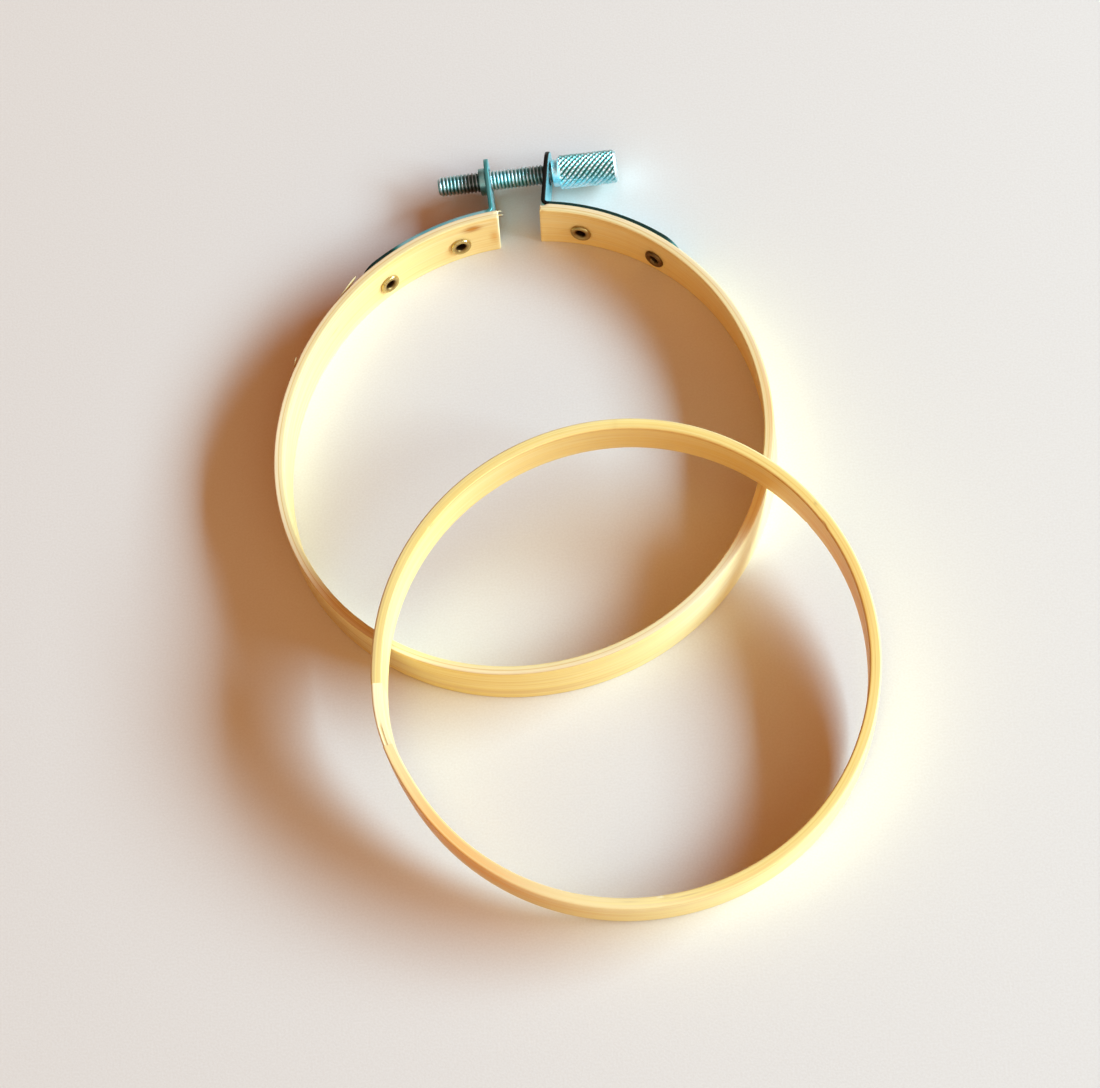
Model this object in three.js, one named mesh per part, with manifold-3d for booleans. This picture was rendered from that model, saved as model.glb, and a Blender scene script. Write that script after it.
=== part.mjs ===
// Embroidery hoop: an open outer hoop of bent bamboo with a screw clamp, and the closed
// inner hoop that leans on its rim. Millimetres, +Z up, the adjusting gap on +Y.
import * as THREE from "three";
import * as BufferGeometryUtils from "three/addons/utils/BufferGeometryUtils.js";
import Module from "manifold-3d";

const wasm = await Module();
wasm.setup();

// Outer hoop: one bamboo strip, bent round and left open at the gap
const HOOP_RADIUS = 54; // mean radius of the outer face
const STRIP_THICKNESS = 2.1;
const STRIP_HEIGHT = 11;
const STRIP_EDGE_RADIUS = 0.45;
const GAP_WIDTH = 9.2; // between the two ends at half height
const OVAL_STRETCH = 1.68; // the open strip springs into an oval, longer towards the gap
const OVAL_TURN = 2.8; // degrees from the gap to the oval's long axis, clockwise
const EGG_STRETCH = 0.32;

// The free ends have sprung a little out of true
const END_LEAN = 0.9; // how much further out the top edge is than the bottom edge
const END_STEP = 0.4; // the right end lies this much outside the curve, the left inside
const END_SLANT = 1.25; // the end cuts are this much out of square over the height
const LEAN_LENGTH = 45; // stretch over which lean and step fade out
const SLANT_LENGTH = 16;

// Strap brackets: zinc-plated steel, riveted on, bent out into a lug for the screw
const STRAP_THICKNESS = 0.9;
const STRAP_WIDTH = 9.4;
const STRAP_REACH = 33.3; // from the strip's end to the strap's rounded tip
const STRAP_SEAT = 0.25; // clearance to the strip
const LUG_SETBACK = { left: 0.95, right: 0.9 }; // from the strip's end to the middle of the lug plate
const LUG_LEAN = { left: 5, right: 4.9 }; // degrees each lug opens outwards
const BEND_RADIUS = 1.1; // middle of the sheet
const LUG_HOLE_CLEARANCE = { left: 0.9, right: 0.35 }; // the left one clears the tilting screw

// Tubular rivets, two through each end
const RIVET_PLACES = { near_gap: 9.4, far: 28 }; // along the strip from its end
const RIVET_HEIGHT = 4.5;
const RIVET_SHANK_RADIUS = 1.2;
const RIVET_BORE_RADIUS = 0.8;
const RIVET_BORE_FLOOR = 0.5; // metal left at the bottom of the bore
const RIVET_HEAD_RADIUS = 2.3;
const RIVET_HEAD_HEIGHT = 0.8;
const RIVET_CURL_RADIUS = 2.3; // rolled rim on the inner face
const RIVET_CURL_HEIGHT = 0.55;
const RIVET_CLEARANCE = 0.3;
const RIVET_SEAT = 0.2;
const DRILL_LENGTH = 8; // reaches through strip and strap, or through one lug

// Thumb screw: thread, smooth shoulder and knurled head in one turned piece
const SCREW_STANDOFF = 11.4; // from the strip's outer face at the gap out to the axis
const SCREW_YAW = 2; // degrees, the right lug stands further out than the left
const THREAD_RADIUS = 1.95;
const THREAD_TIP_CHAMFER = 0.6;
const TIP_OVERHANG = 8.6; // thread past the press nut
const SHOULDER_SEAT = 0.6; // to the middle of the leaning right lug's face
const SHOULDER_RADIUS = 3;
const SHOULDER_LENGTH = 1.6;
const HEAD_RADIUS = 3.7;
const HEAD_LENGTH = 13;
const HEAD_CHAMFER = 0.5;

// Press nut, fixed on the left lug's outer face
const NUT_RADIUS = 3;
const NUT_THICKNESS = 1.4;
const NUT_CHAMFER = 0.45;
const NUT_SEAT = 0.2;
const NUT_BORE_CLEARANCE = 0.55; // leaves room as the screw tilts when the hoop closes

// Inner hoop: a closed strip with a glued scarf joint
const INNER_RADIUS = 50.2;
const INNER_THICKNESS = 2.3;
const INNER_HEIGHT = 11;
const INNER_EDGE_RADIUS = 0.5;
const INNER_OFFSET_X = 19.8; // from the outer hoop's centre to the middle of its lower face
const INNER_OFFSET_Y = -55.2;
const INNER_SEAT = 0.3; // clearance where it leans on the outer rim

// The outer strip flexes opposite the gap, where its two halves meet here
const FLEX_SPLIT = 0.3;

// How finely the round shapes are drawn
const STRIP_STEPS = 48;
const RING_STEPS = 96;
const ROUND_STEPS = 24;
const EDGE_STEPS = 1;
const TIP_STEPS = 6;
const BEND_STEPS = 4;
const STRAP_STEPS = 12;
const CURVE_DIVISIONS = 1440;
const REST_ROUNDS = 30;
const CROSSING_REACH = 1.3; // from the inner hoop's low edge to the crossings, in its radii

const SIDE_NAMES = new Map([[-1, "left"], [1, "right"]]);
const degrees = THREE.MathUtils.degToRad;

const bamboo = { color: 0xead08f, roughness: 0.55, metalness: 0 };
const zinc = { color: 0xb4ccd2, roughness: 0.3, metalness: 0.9 };
const brass = { color: 0xb8a266, roughness: 0.35, metalness: 0.9 };

/** Plan curve of the strip's outer face, clockwise from the middle of the gap. */
class HoopCurve extends THREE.Curve {
  getPoint(share, target = new THREE.Vector3()) {
    const turn = share * 2 * Math.PI;
    const oval = OVAL_STRETCH * Math.cos(2 * (turn - degrees(OVAL_TURN)));
    const egg = EGG_STRETCH * Math.cos(3 * turn);
    const radius = HOOP_RADIUS + oval + egg;
    return target.set(radius * Math.sin(turn), radius * Math.cos(turn), 0);
  }
}

const hoopCurve = new HoopCurve();
hoopCurve.arcLengthDivisions = CURVE_DIVISIONS;
const hoopLength = hoopCurve.getLength();
const rightEnd = GAP_WIDTH / 2;
const leftEnd = -GAP_WIDTH / 2;

/** 1 at the gap, easing to 0 at the given distance along the strip. */
function nearGap(along, reach) {
  return 1 - THREE.MathUtils.smoothstep(Math.abs(along), 0, reach);
}

/** How far out of the plan curve the strip has sprung at this place and height. */
function springOut(along, height) {
  const lean = END_LEAN * (height / STRIP_HEIGHT - 0.5);
  const step = END_STEP * Math.sign(along);
  return (lean + step) * nearGap(along, LEAN_LENGTH);
}

/** Plan point, clockwise direction and outward direction at a distance along the strip. */
function planAt(along) {
  const share = THREE.MathUtils.euclideanModulo(along / hoopLength, 1);
  const point = hoopCurve.getPointAt(share);
  const forward = hoopCurve.getTangentAt(share).setZ(0).normalize();
  const outward = new THREE.Vector3(-forward.y, forward.x, 0);
  return { point, forward, outward };
}

/** A point by its distance along the strip, out from its outer face, and up. */
function place(along, outset, height) {
  const { point, outward } = planAt(along);
  point.addScaledVector(outward, outset + springOut(along, height));
  return point.setZ(height);
}

/** Placement on the strip's outer face, with Y pointing outwards and X clockwise. */
function frameAt(along, height) {
  const probe = 0.05;
  const origin = place(along, 0, height);
  const forward = place(along + probe, 0, height).sub(place(along - probe, 0, height)).normalize();
  const rise = place(along, 0, height + probe).sub(place(along, 0, height - probe)).normalize();
  const outward = rise.clone().cross(forward).normalize();
  const up = forward.clone().cross(outward);
  return new THREE.Matrix4().makeBasis(forward, outward, up).setPosition(origin);
}

/** A rectangle with rounded corners, from left to right and from 0 up to its height. */
function roundedSection(left, right, height, corner) {
  const shape = new THREE.Shape();
  shape.moveTo(left + corner, 0);
  shape.lineTo(right - corner, 0);
  shape.absarc(right - corner, corner, corner, -Math.PI / 2, 0, false);
  shape.lineTo(right, height - corner);
  shape.absarc(right - corner, height - corner, corner, 0, Math.PI / 2, false);
  shape.lineTo(left + corner, height);
  shape.absarc(left + corner, height - corner, corner, Math.PI / 2, Math.PI, false);
  shape.lineTo(left, corner);
  shape.absarc(left + corner, corner, corner, Math.PI, 1.5 * Math.PI, false);
  return shape;
}

/** Moves every vertex of a geometry by a function of its place. */
function bend(geometry, move) {
  const positions = geometry.attributes.position;
  const vertex = new THREE.Vector3();
  for (let index = 0; index < positions.count; index += 1) {
    vertex.fromBufferAttribute(positions, index);
    const moved = move(vertex.x, vertex.y, vertex.z);
    positions.setXYZ(index, moved.x, moved.y, moved.z);
  }
  geometry.computeVertexNormals();
  return geometry;
}

/** A closed mesh as a solid that can be cut. */
function solidOf(geometry, matrix = new THREE.Matrix4()) {
  const copy = geometry.clone().applyMatrix4(matrix);
  copy.deleteAttribute("normal");
  copy.deleteAttribute("uv");
  const merged = BufferGeometryUtils.mergeVertices(copy, 1e-4);
  const mesh = new wasm.Mesh({
    numProp: 3,
    vertProperties: new Float32Array(merged.attributes.position.array),
    triVerts: new Uint32Array(merged.index.array),
  });
  return new wasm.Manifold(mesh);
}

/** The surface of a solid as a geometry. */
function geometryOf(solid) {
  const mesh = solid.getMesh();
  const geometry = new THREE.BufferGeometry();
  geometry.setAttribute("position", new THREE.BufferAttribute(mesh.vertProperties, 3));
  geometry.setIndex(new THREE.BufferAttribute(mesh.triVerts, 1));
  geometry.computeVertexNormals();
  return geometry;
}

/** A cylinder along local Y that cuts a hole. */
function drill(radius) {
  return new THREE.CylinderGeometry(radius, radius, DRILL_LENGTH, ROUND_STEPS);
}

function named(name, geometry, finish) {
  const mesh = new THREE.Mesh(geometry, new THREE.MeshStandardMaterial(finish));
  mesh.name = name;
  return mesh;
}

/** Distance along the strip of one of the rivets, negative on the left. */
function rivetAlong(side, spot) {
  return side * (GAP_WIDTH / 2 + RIVET_PLACES[spot]);
}

/** Cuts the rivet holes of one end out of a geometry that lies on the strip. */
function punchRivetHoles(geometry, side) {
  let solid = solidOf(geometry);
  const tool = drill(RIVET_SHANK_RADIUS + RIVET_CLEARANCE);
  for (const spot of Object.keys(RIVET_PLACES)) {
    solid = solid.subtract(solidOf(tool, frameAt(rivetAlong(side, spot), RIVET_HEIGHT)));
  }
  return solid;
}

/** Half of the outer strip, from its free end round to the flex point opposite the gap. */
function stripHalf(side) {
  const first = side > 0 ? rightEnd : -hoopLength / 2 + FLEX_SPLIT / 2;
  const last = side > 0 ? hoopLength / 2 - FLEX_SPLIT / 2 : leftEnd;
  const section = roundedSection(-STRIP_THICKNESS, 0, STRIP_HEIGHT, STRIP_EDGE_RADIUS);
  const flat = new THREE.ExtrudeGeometry(section, {
    depth: 1, steps: STRIP_STEPS, bevelEnabled: false, curveSegments: EDGE_STEPS,
  });
  const bent = bend(flat, (outset, height, share) => {
    const along = THREE.MathUtils.lerp(first, last, share);
    const slant = END_SLANT * (height / STRIP_HEIGHT - 0.5) * nearGap(along, SLANT_LENGTH);
    return place(along + slant, outset, height);
  });
  return geometryOf(punchRivetHoles(bent, side));
}

/** Middle line of one bracket, from the lug's outer end to the strap's tip. */
function bracketRings(side) {
  const half = STRAP_WIDTH / 2;
  const outset = STRAP_SEAT + STRAP_THICKNESS / 2;
  const lugAlong = side * (GAP_WIDTH / 2 + LUG_SETBACK[SIDE_NAMES.get(side)]);
  const corner = planAt(lugAlong);
  const sprung = springOut(lugAlong, STRIP_HEIGHT / 2);
  const foot = corner.point.clone().addScaledVector(corner.outward, outset + sprung);
  const lean = degrees(LUG_LEAN[SIDE_NAMES.get(side)]) * side;
  const lugDirection = new THREE.Vector3(Math.sin(lean), Math.cos(lean), 0);
  const towardsGap = corner.forward.clone().multiplyScalar(-side);
  const bendAngle = towardsGap.angleTo(lugDirection);
  const setback = BEND_RADIUS * Math.tan(bendAngle / 2);
  const axisFoot = screwPoint(foot.x + lugDirection.x * SCREW_STANDOFF);
  const lugLength = (axisFoot.y - foot.y) / lugDirection.y + half;
  const rings = [];
  // rounded end of the lug, round the screw's axis
  for (let index = 1; index <= TIP_STEPS; index += 1) {
    const angle = (index / TIP_STEPS) * (Math.PI / 2);
    const back = index === 1 ? 0 : half * (1 - Math.cos(angle));
    const point = foot.clone().addScaledVector(lugDirection, lugLength - back);
    rings.push({ point, across: lugDirection, halfWidth: half * Math.sin(angle), lug: true });
  }
  // bend at the foot of the lug
  for (let index = 0; index <= BEND_STEPS; index += 1) {
    const angle = bendAngle * (1 - index / BEND_STEPS);
    const turned = corner.outward.clone().multiplyScalar(Math.sin(angle));
    const across = towardsGap.clone().multiplyScalar(Math.cos(angle)).add(turned);
    const point = foot.clone().addScaledVector(towardsGap, BEND_RADIUS * Math.sin(angle) - setback);
    point.addScaledVector(corner.outward, BEND_RADIUS * (1 - Math.cos(angle)));
    rings.push({ point, across, halfWidth: half, lug: true });
  }
  // strap along the strip, and its rounded tip
  const strapStart = Math.abs(lugAlong) + setback;
  const tipAlong = GAP_WIDTH / 2 + STRAP_REACH;
  for (let index = 1; index <= STRAP_STEPS; index += 1) {
    const reach = THREE.MathUtils.lerp(strapStart, tipAlong - half, index / STRAP_STEPS);
    rings.push({ along: side * reach, halfWidth: half });
  }
  for (let index = TIP_STEPS - 1; index >= 1; index -= 1) {
    const angle = (index / TIP_STEPS) * (Math.PI / 2);
    const back = index === 1 ? 0 : half * (1 - Math.cos(angle));
    rings.push({ along: side * (tipAlong - back), halfWidth: half * Math.sin(angle) });
  }
  const lugHole = foot.clone().addScaledVector(lugDirection, lugLength - half);
  return { rings, lugAlong, outward: corner.outward, lugHole, lugDirection };
}

/** A strap bracket: riveted strap, bend and lug with the screw's hole. */
function bracket(side) {
  const { rings, lugAlong, outward } = bracketRings(side);
  if (side < 0) rings.reverse();
  const middle = STRIP_HEIGHT / 2;
  const section = roundedSection(-0.5, 0.5, 1, 0);
  const flat = new THREE.ExtrudeGeometry(section, {
    depth: 1, steps: rings.length - 1, bevelEnabled: false, curveSegments: 1,
  });
  const bent = bend(flat, (thickness, rise, share) => {
    const ring = rings[Math.round(share * (rings.length - 1))];
    const height = middle + (2 * rise - 1) * ring.halfWidth;
    if (!ring.lug) {
      const outset = STRAP_SEAT + (thickness + 0.5) * STRAP_THICKNESS;
      return place(ring.along, outset, height);
    }
    const sprung = springOut(lugAlong, height) - springOut(lugAlong, middle);
    const through = new THREE.Vector3(-ring.across.y, ring.across.x, 0).multiplyScalar(-side);
    const point = ring.point.clone().addScaledVector(outward, sprung);
    return point.addScaledVector(through, thickness * STRAP_THICKNESS).setZ(height);
  });
  let solid = punchRivetHoles(bent, side);
  const hole = drill(THREAD_RADIUS + LUG_HOLE_CLEARANCE[SIDE_NAMES.get(side)]);
  solid = solid.subtract(solidOf(hole, screwFrame(lugCentre(side))));
  return geometryOf(solid);
}

/** Point of the screw's axis above a given x. */
function screwPoint(x) {
  const gapFace = planAt(0).point;
  const rise = gapFace.y + SCREW_STANDOFF + (x - gapFace.x) * Math.tan(degrees(SCREW_YAW));
  return new THREE.Vector3(x, rise, STRIP_HEIGHT / 2);
}

/** Placement on the screw's axis, with Y running from its tip to its head. */
function screwFrame(point) {
  const turn = degrees(SCREW_YAW) - Math.PI / 2;
  return new THREE.Matrix4().makeRotationZ(turn).setPosition(point);
}

/** Where the screw's axis passes through the middle of a lug. */
function lugCentre(side) {
  const { lugHole } = bracketRings(side);
  return screwPoint(lugHole.x);
}

/** A turned piece from its outline: pairs of radius and place along the axis. */
function turned(outline) {
  const points = outline.map(([radius, along]) => new THREE.Vector2(radius, along));
  return new THREE.LatheGeometry(points, ROUND_STEPS);
}

/** Tubular rivet along Y: domed head outside, blind bore and rolled rim inside. */
function rivetGeometry() {
  const headFace = STRAP_SEAT + STRAP_THICKNESS + RIVET_SEAT;
  const rimFace = -STRIP_THICKNESS - RIVET_SEAT;
  const rimEnd = rimFace - RIVET_CURL_HEIGHT;
  const rimRound = RIVET_CURL_HEIGHT / 2;
  const boreFloor = headFace - RIVET_BORE_FLOOR;
  const outline = [
    [0, boreFloor],
    [RIVET_BORE_RADIUS, boreFloor],
    [RIVET_BORE_RADIUS, rimEnd + rimRound],
    [RIVET_BORE_RADIUS + rimRound, rimEnd],
    [RIVET_CURL_RADIUS - rimRound, rimEnd],
    [RIVET_CURL_RADIUS, rimEnd + rimRound],
    [RIVET_CURL_RADIUS - rimRound / 2, rimFace],
    [RIVET_SHANK_RADIUS, rimFace],
    [RIVET_SHANK_RADIUS, headFace],
    [RIVET_HEAD_RADIUS, headFace],
  ];
  const domeSteps = 4;
  for (let index = 1; index <= domeSteps; index += 1) {
    const angle = (index / domeSteps) * (Math.PI / 2);
    const radius = index === domeSteps ? 0 : RIVET_HEAD_RADIUS * Math.cos(angle);
    outline.push([radius, headFace + RIVET_HEAD_HEIGHT * Math.sin(angle)]);
  }
  return turned(outline);
}

/** Thumb screw along Y, from the middle of the gap. */
function thumbScrewGeometry() {
  const lug = lugCentre(1).distanceTo(screwPoint(0));
  const shoulder = lug + STRAP_THICKNESS / 2 + SHOULDER_SEAT;
  const head = shoulder + SHOULDER_LENGTH;
  const end = head + HEAD_LENGTH;
  const nutBack = STRAP_THICKNESS / 2 + NUT_SEAT + NUT_THICKNESS;
  const tip = -(lugCentre(-1).distanceTo(screwPoint(0)) + nutBack + TIP_OVERHANG);
  return turned([
    [0, tip],
    [THREAD_RADIUS - THREAD_TIP_CHAMFER, tip],
    [THREAD_RADIUS, tip + THREAD_TIP_CHAMFER],
    [THREAD_RADIUS, shoulder],
    [SHOULDER_RADIUS, shoulder],
    [SHOULDER_RADIUS, head],
    [HEAD_RADIUS - HEAD_CHAMFER, head],
    [HEAD_RADIUS, head + HEAD_CHAMFER],
    [HEAD_RADIUS, end - HEAD_CHAMFER],
    [HEAD_RADIUS - HEAD_CHAMFER, end],
    [0, end],
  ]);
}

/** Press nut: a chamfered collar along Y, its flat seat at zero and its body below. */
function pressNutGeometry() {
  const bore = THREAD_RADIUS + NUT_BORE_CLEARANCE;
  return turned([
    [bore, -NUT_THICKNESS],
    [NUT_RADIUS - NUT_CHAMFER, -NUT_THICKNESS],
    [NUT_RADIUS, NUT_CHAMFER - NUT_THICKNESS],
    [NUT_RADIUS, 0],
    [bore, 0],
    [bore, -NUT_THICKNESS],
  ]);
}

/** Height of the inner hoop's lower face over the outer rim, on the left or right crossing. */
function clearanceOverRim(placement, side) {
  const point = new THREE.Vector3();
  const inside = INNER_RADIUS - INNER_THICKNESS + INNER_EDGE_RADIUS;
  const outside = INNER_RADIUS - INNER_EDGE_RADIUS;
  let least = Infinity;
  for (let index = 0; index < CURVE_DIVISIONS; index += 1) {
    const angle = (index / CURVE_DIVISIONS) * 2 * Math.PI;
    for (const radius of [inside, (inside + outside) / 2, outside]) {
      point.set(radius * Math.cos(angle), radius * Math.sin(angle), 0).applyMatrix4(placement);
      const turn = Math.atan2(point.x, point.y);
      const rim = hoopCurve.getPoint(turn / (2 * Math.PI)).length();
      const reach = Math.hypot(point.x, point.y);
      const onRim = reach < rim && reach > rim - STRIP_THICKNESS;
      const onSide = (point.x - INNER_OFFSET_X) * side > 0;
      if (onRim && onSide) least = Math.min(least, point.z - STRIP_HEIGHT);
    }
  }
  return least;
}

/** Placement at which the inner hoop rests on the table and on both sides of the outer rim. */
function restingPlacement() {
  let tilt = Math.atan(STRIP_HEIGHT / INNER_RADIUS);
  let roll = 0;
  const placement = new THREE.Matrix4();
  // each round turns the hoop about its low edge until both crossings have the same clearance
  for (let round = 0; round < REST_ROUNDS; round += 1) {
    placement.makeRotationFromEuler(new THREE.Euler(tilt, roll, 0, "ZYX"));
    const slope = Math.sqrt(1 - placement.elements[10] ** 2);
    const lift = (INNER_RADIUS - INNER_EDGE_RADIUS) * slope;
    placement.setPosition(INNER_OFFSET_X, INNER_OFFSET_Y, lift);
    const left = clearanceOverRim(placement, -1) - INNER_SEAT;
    const right = clearanceOverRim(placement, 1) - INNER_SEAT;
    tilt -= (left + right) / (2 * CROSSING_REACH * INNER_RADIUS);
    roll += (right - left) / (2 * INNER_RADIUS);
  }
  return placement;
}

/** Inner hoop: the strip's section turned round Z, standing on its lower face. */
function innerHoopGeometry() {
  const inside = INNER_RADIUS - INNER_THICKNESS;
  const section = roundedSection(inside, INNER_RADIUS, INNER_HEIGHT, INNER_EDGE_RADIUS);
  const outline = section.getPoints(EDGE_STEPS);
  outline.push(outline[0].clone());
  const ring = new THREE.LatheGeometry(outline, RING_STEPS);
  return ring.rotateX(Math.PI / 2);
}

const hoop = new THREE.Group();
const placed = new THREE.Group();
hoop.add(placed);

for (const [side, word] of SIDE_NAMES) {
  placed.add(named(`outer_ring_${word}`, stripHalf(side), bamboo));
  placed.add(named(`${word}_bracket`, bracket(side), zinc));
  for (const spot of Object.keys(RIVET_PLACES)) {
    const rivet = named(`${word}_rivet_${spot}`, rivetGeometry(), brass);
    rivet.applyMatrix4(frameAt(rivetAlong(side, spot), RIVET_HEIGHT));
    placed.add(rivet);
  }
}

const thumbScrew = named("thumb_screw", thumbScrewGeometry(), zinc);
thumbScrew.applyMatrix4(screwFrame(screwPoint(0)));
placed.add(thumbScrew);

const pressNut = named("press_nut", pressNutGeometry(), zinc);
const { lugDirection } = bracketRings(-1);
const lugFace = new THREE.Vector3(lugDirection.y, -lugDirection.x, 0);
const nutSpot = lugCentre(-1).addScaledVector(lugFace, -(STRAP_THICKNESS / 2 + NUT_SEAT));
const nutTurn = degrees(LUG_LEAN.left) - Math.PI / 2;
pressNut.applyMatrix4(new THREE.Matrix4().makeRotationZ(nutTurn).setPosition(nutSpot));
placed.add(pressNut);

const innerHoop = named("inner_ring", innerHoopGeometry(), bamboo);
innerHoop.applyMatrix4(restingPlacement());
placed.add(innerHoop);

// The origin is under the middle of the whole object, on the table
placed.updateMatrixWorld(true);
const box = new THREE.Box3().setFromObject(placed, true);
const middle = box.getCenter(new THREE.Vector3());
placed.position.set(-middle.x, -middle.y, -box.min.z);
hoop.updateMatrixWorld(true);

export default hoop;
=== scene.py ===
"""Looks of a bamboo embroidery hoop: an open outer ring with a screw clamp and a closed inner ring.

Sizes are in millimetres in the shared frame, and become metres where a mesh is made.
"""

import logging
import math
from dataclasses import dataclass, field
from enum import Enum
from typing import Callable, Iterable, Sequence

import bmesh
import bpy
import numpy as np
from mathutils import Matrix, Vector

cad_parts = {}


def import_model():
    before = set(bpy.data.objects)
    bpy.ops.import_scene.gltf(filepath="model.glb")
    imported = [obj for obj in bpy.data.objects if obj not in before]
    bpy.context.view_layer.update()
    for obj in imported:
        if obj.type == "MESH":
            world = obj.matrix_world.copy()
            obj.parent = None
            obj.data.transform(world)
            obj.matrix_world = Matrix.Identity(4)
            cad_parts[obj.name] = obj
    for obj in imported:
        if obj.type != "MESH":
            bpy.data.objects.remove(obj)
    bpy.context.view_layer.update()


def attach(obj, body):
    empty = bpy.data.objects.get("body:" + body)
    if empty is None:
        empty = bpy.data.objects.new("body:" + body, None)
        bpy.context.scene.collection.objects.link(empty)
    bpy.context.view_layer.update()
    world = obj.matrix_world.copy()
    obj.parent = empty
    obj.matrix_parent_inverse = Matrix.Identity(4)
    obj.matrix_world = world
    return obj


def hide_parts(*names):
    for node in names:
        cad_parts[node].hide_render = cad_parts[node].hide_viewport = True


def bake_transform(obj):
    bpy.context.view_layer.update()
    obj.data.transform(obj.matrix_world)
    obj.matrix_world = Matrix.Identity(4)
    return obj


log = logging.getLogger("embroidery_hoop")

MILLIMETRE = 0.001
HOOP_CENTRE = np.array([-9.079, 16.972, 0.0])  # middle of the outer ring in the shared frame
STRIP_HEIGHT = 11.0
PLACE_ATTRIBUTE = "strip_place"
BROWN_ATTRIBUTE = "brown_mark"
PALE_ATTRIBUTE = "pale_mark"
AMBER_ATTRIBUTE = "amber_mark"
EDGE_ATTRIBUTE = "edge_tone"
# painted shade in thread roots, knurls, eyelet bores, sheet edges and the shaded eyelets, and the nut's
# darker tone
SHADE_AND_TONE_ATTRIBUTE = "groove"
# painted shade and brown reflection on the thread beside the right lug and the nut
LUG_SHADE_ATTRIBUTE = "painted_lug_shade"
SHARP_ANGLE = math.radians(38)
WELD_DISTANCE = 1e-7  # metres, joins the points of two parts that meet
RIM_MARGIN = 0.01  # a point this far below the rounded edge still belongs to the rim
POLE_RADIUS = 0.001  # a turned part's outline ends this near its axis
RIM_DENT = 0.6  # depth of a dent down from the rim, as a share of its depth in from a face
NOISE_LOW = 0.3  # nearly all of a noise's values lie between these two
NOISE_HIGH = 0.7
TOOTH_EDGES = (0.35, 0.65)  # noise values between which the paper's two tones meet


class Side(Enum):
    """The two ends of the outer strip, seen from the front with the gap away from you."""

    LEFT = -1
    RIGHT = 1

    @property
    def word(self) -> str:
        """The word used in the names of the pieces."""
        return self.name.lower()


def linear_colour(code: str, alpha: float = 1.0) -> tuple[float, float, float, float]:
    """Turns an sRGB hex colour to linear light.

    Args:
        code: Six hex digits with a leading #.
        alpha: Opacity.

    Returns:
        Red, green, blue and alpha, each from 0 to 1.
    """
    parts = [int(code[index:index + 2], 16) / 255 for index in (1, 3, 5)]
    linear = [p / 12.92 if p <= 0.04045 else ((p + 0.055) / 1.055) ** 2.4 for p in parts]
    return (linear[0], linear[1], linear[2], alpha)


def smooth_fall(distance: np.ndarray, reach: float) -> np.ndarray:
    """1 at no distance, easing to 0 at the reach.

    Args:
        distance: Distances, of either sign.
        reach: Where the value gets to 0.

    Returns:
        The eased values.
    """
    share = np.clip(np.abs(distance) / reach, 0, 1)
    return 1 - share * share * (3 - 2 * share)


def round_distance(angle: np.ndarray, middle: float, full: float) -> np.ndarray:
    """How far angles lie from a middle one, the short way round.

    Args:
        angle: Angles.
        middle: Where the distance is 0.
        full: The full circle in the same unit.

    Returns:
        Distances from minus half a circle to half a circle.
    """
    return np.mod(angle - middle + full / 2, full) - full / 2


@dataclass(frozen=True)
class SlowWander:
    """A smooth random line, the same on every run: a few waves with seeded phases.

    Attributes:
        seed: Seed of the phases.
        longest: Longest wave in millimetres.
        waves: How many waves are added, each shorter than the last.
        ratio: How many times shorter.
    """

    seed: int
    longest: float
    waves: int = 6
    ratio: float = 1.63

    def at(self, along: np.ndarray) -> np.ndarray:
        """The line's value at each place.

        Args:
            along: Places in millimetres.

        Returns:
            Values within about -1 to 1.
        """
        phases = np.random.default_rng(self.seed).uniform(0, 2 * math.pi, self.waves)
        total = np.zeros_like(along, dtype=float)
        for index, phase in enumerate(phases):
            length = self.longest / (self.ratio ** index)
            total += np.sin(2 * math.pi * along / length + phase) / (index + 1)
        return total / 2


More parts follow.
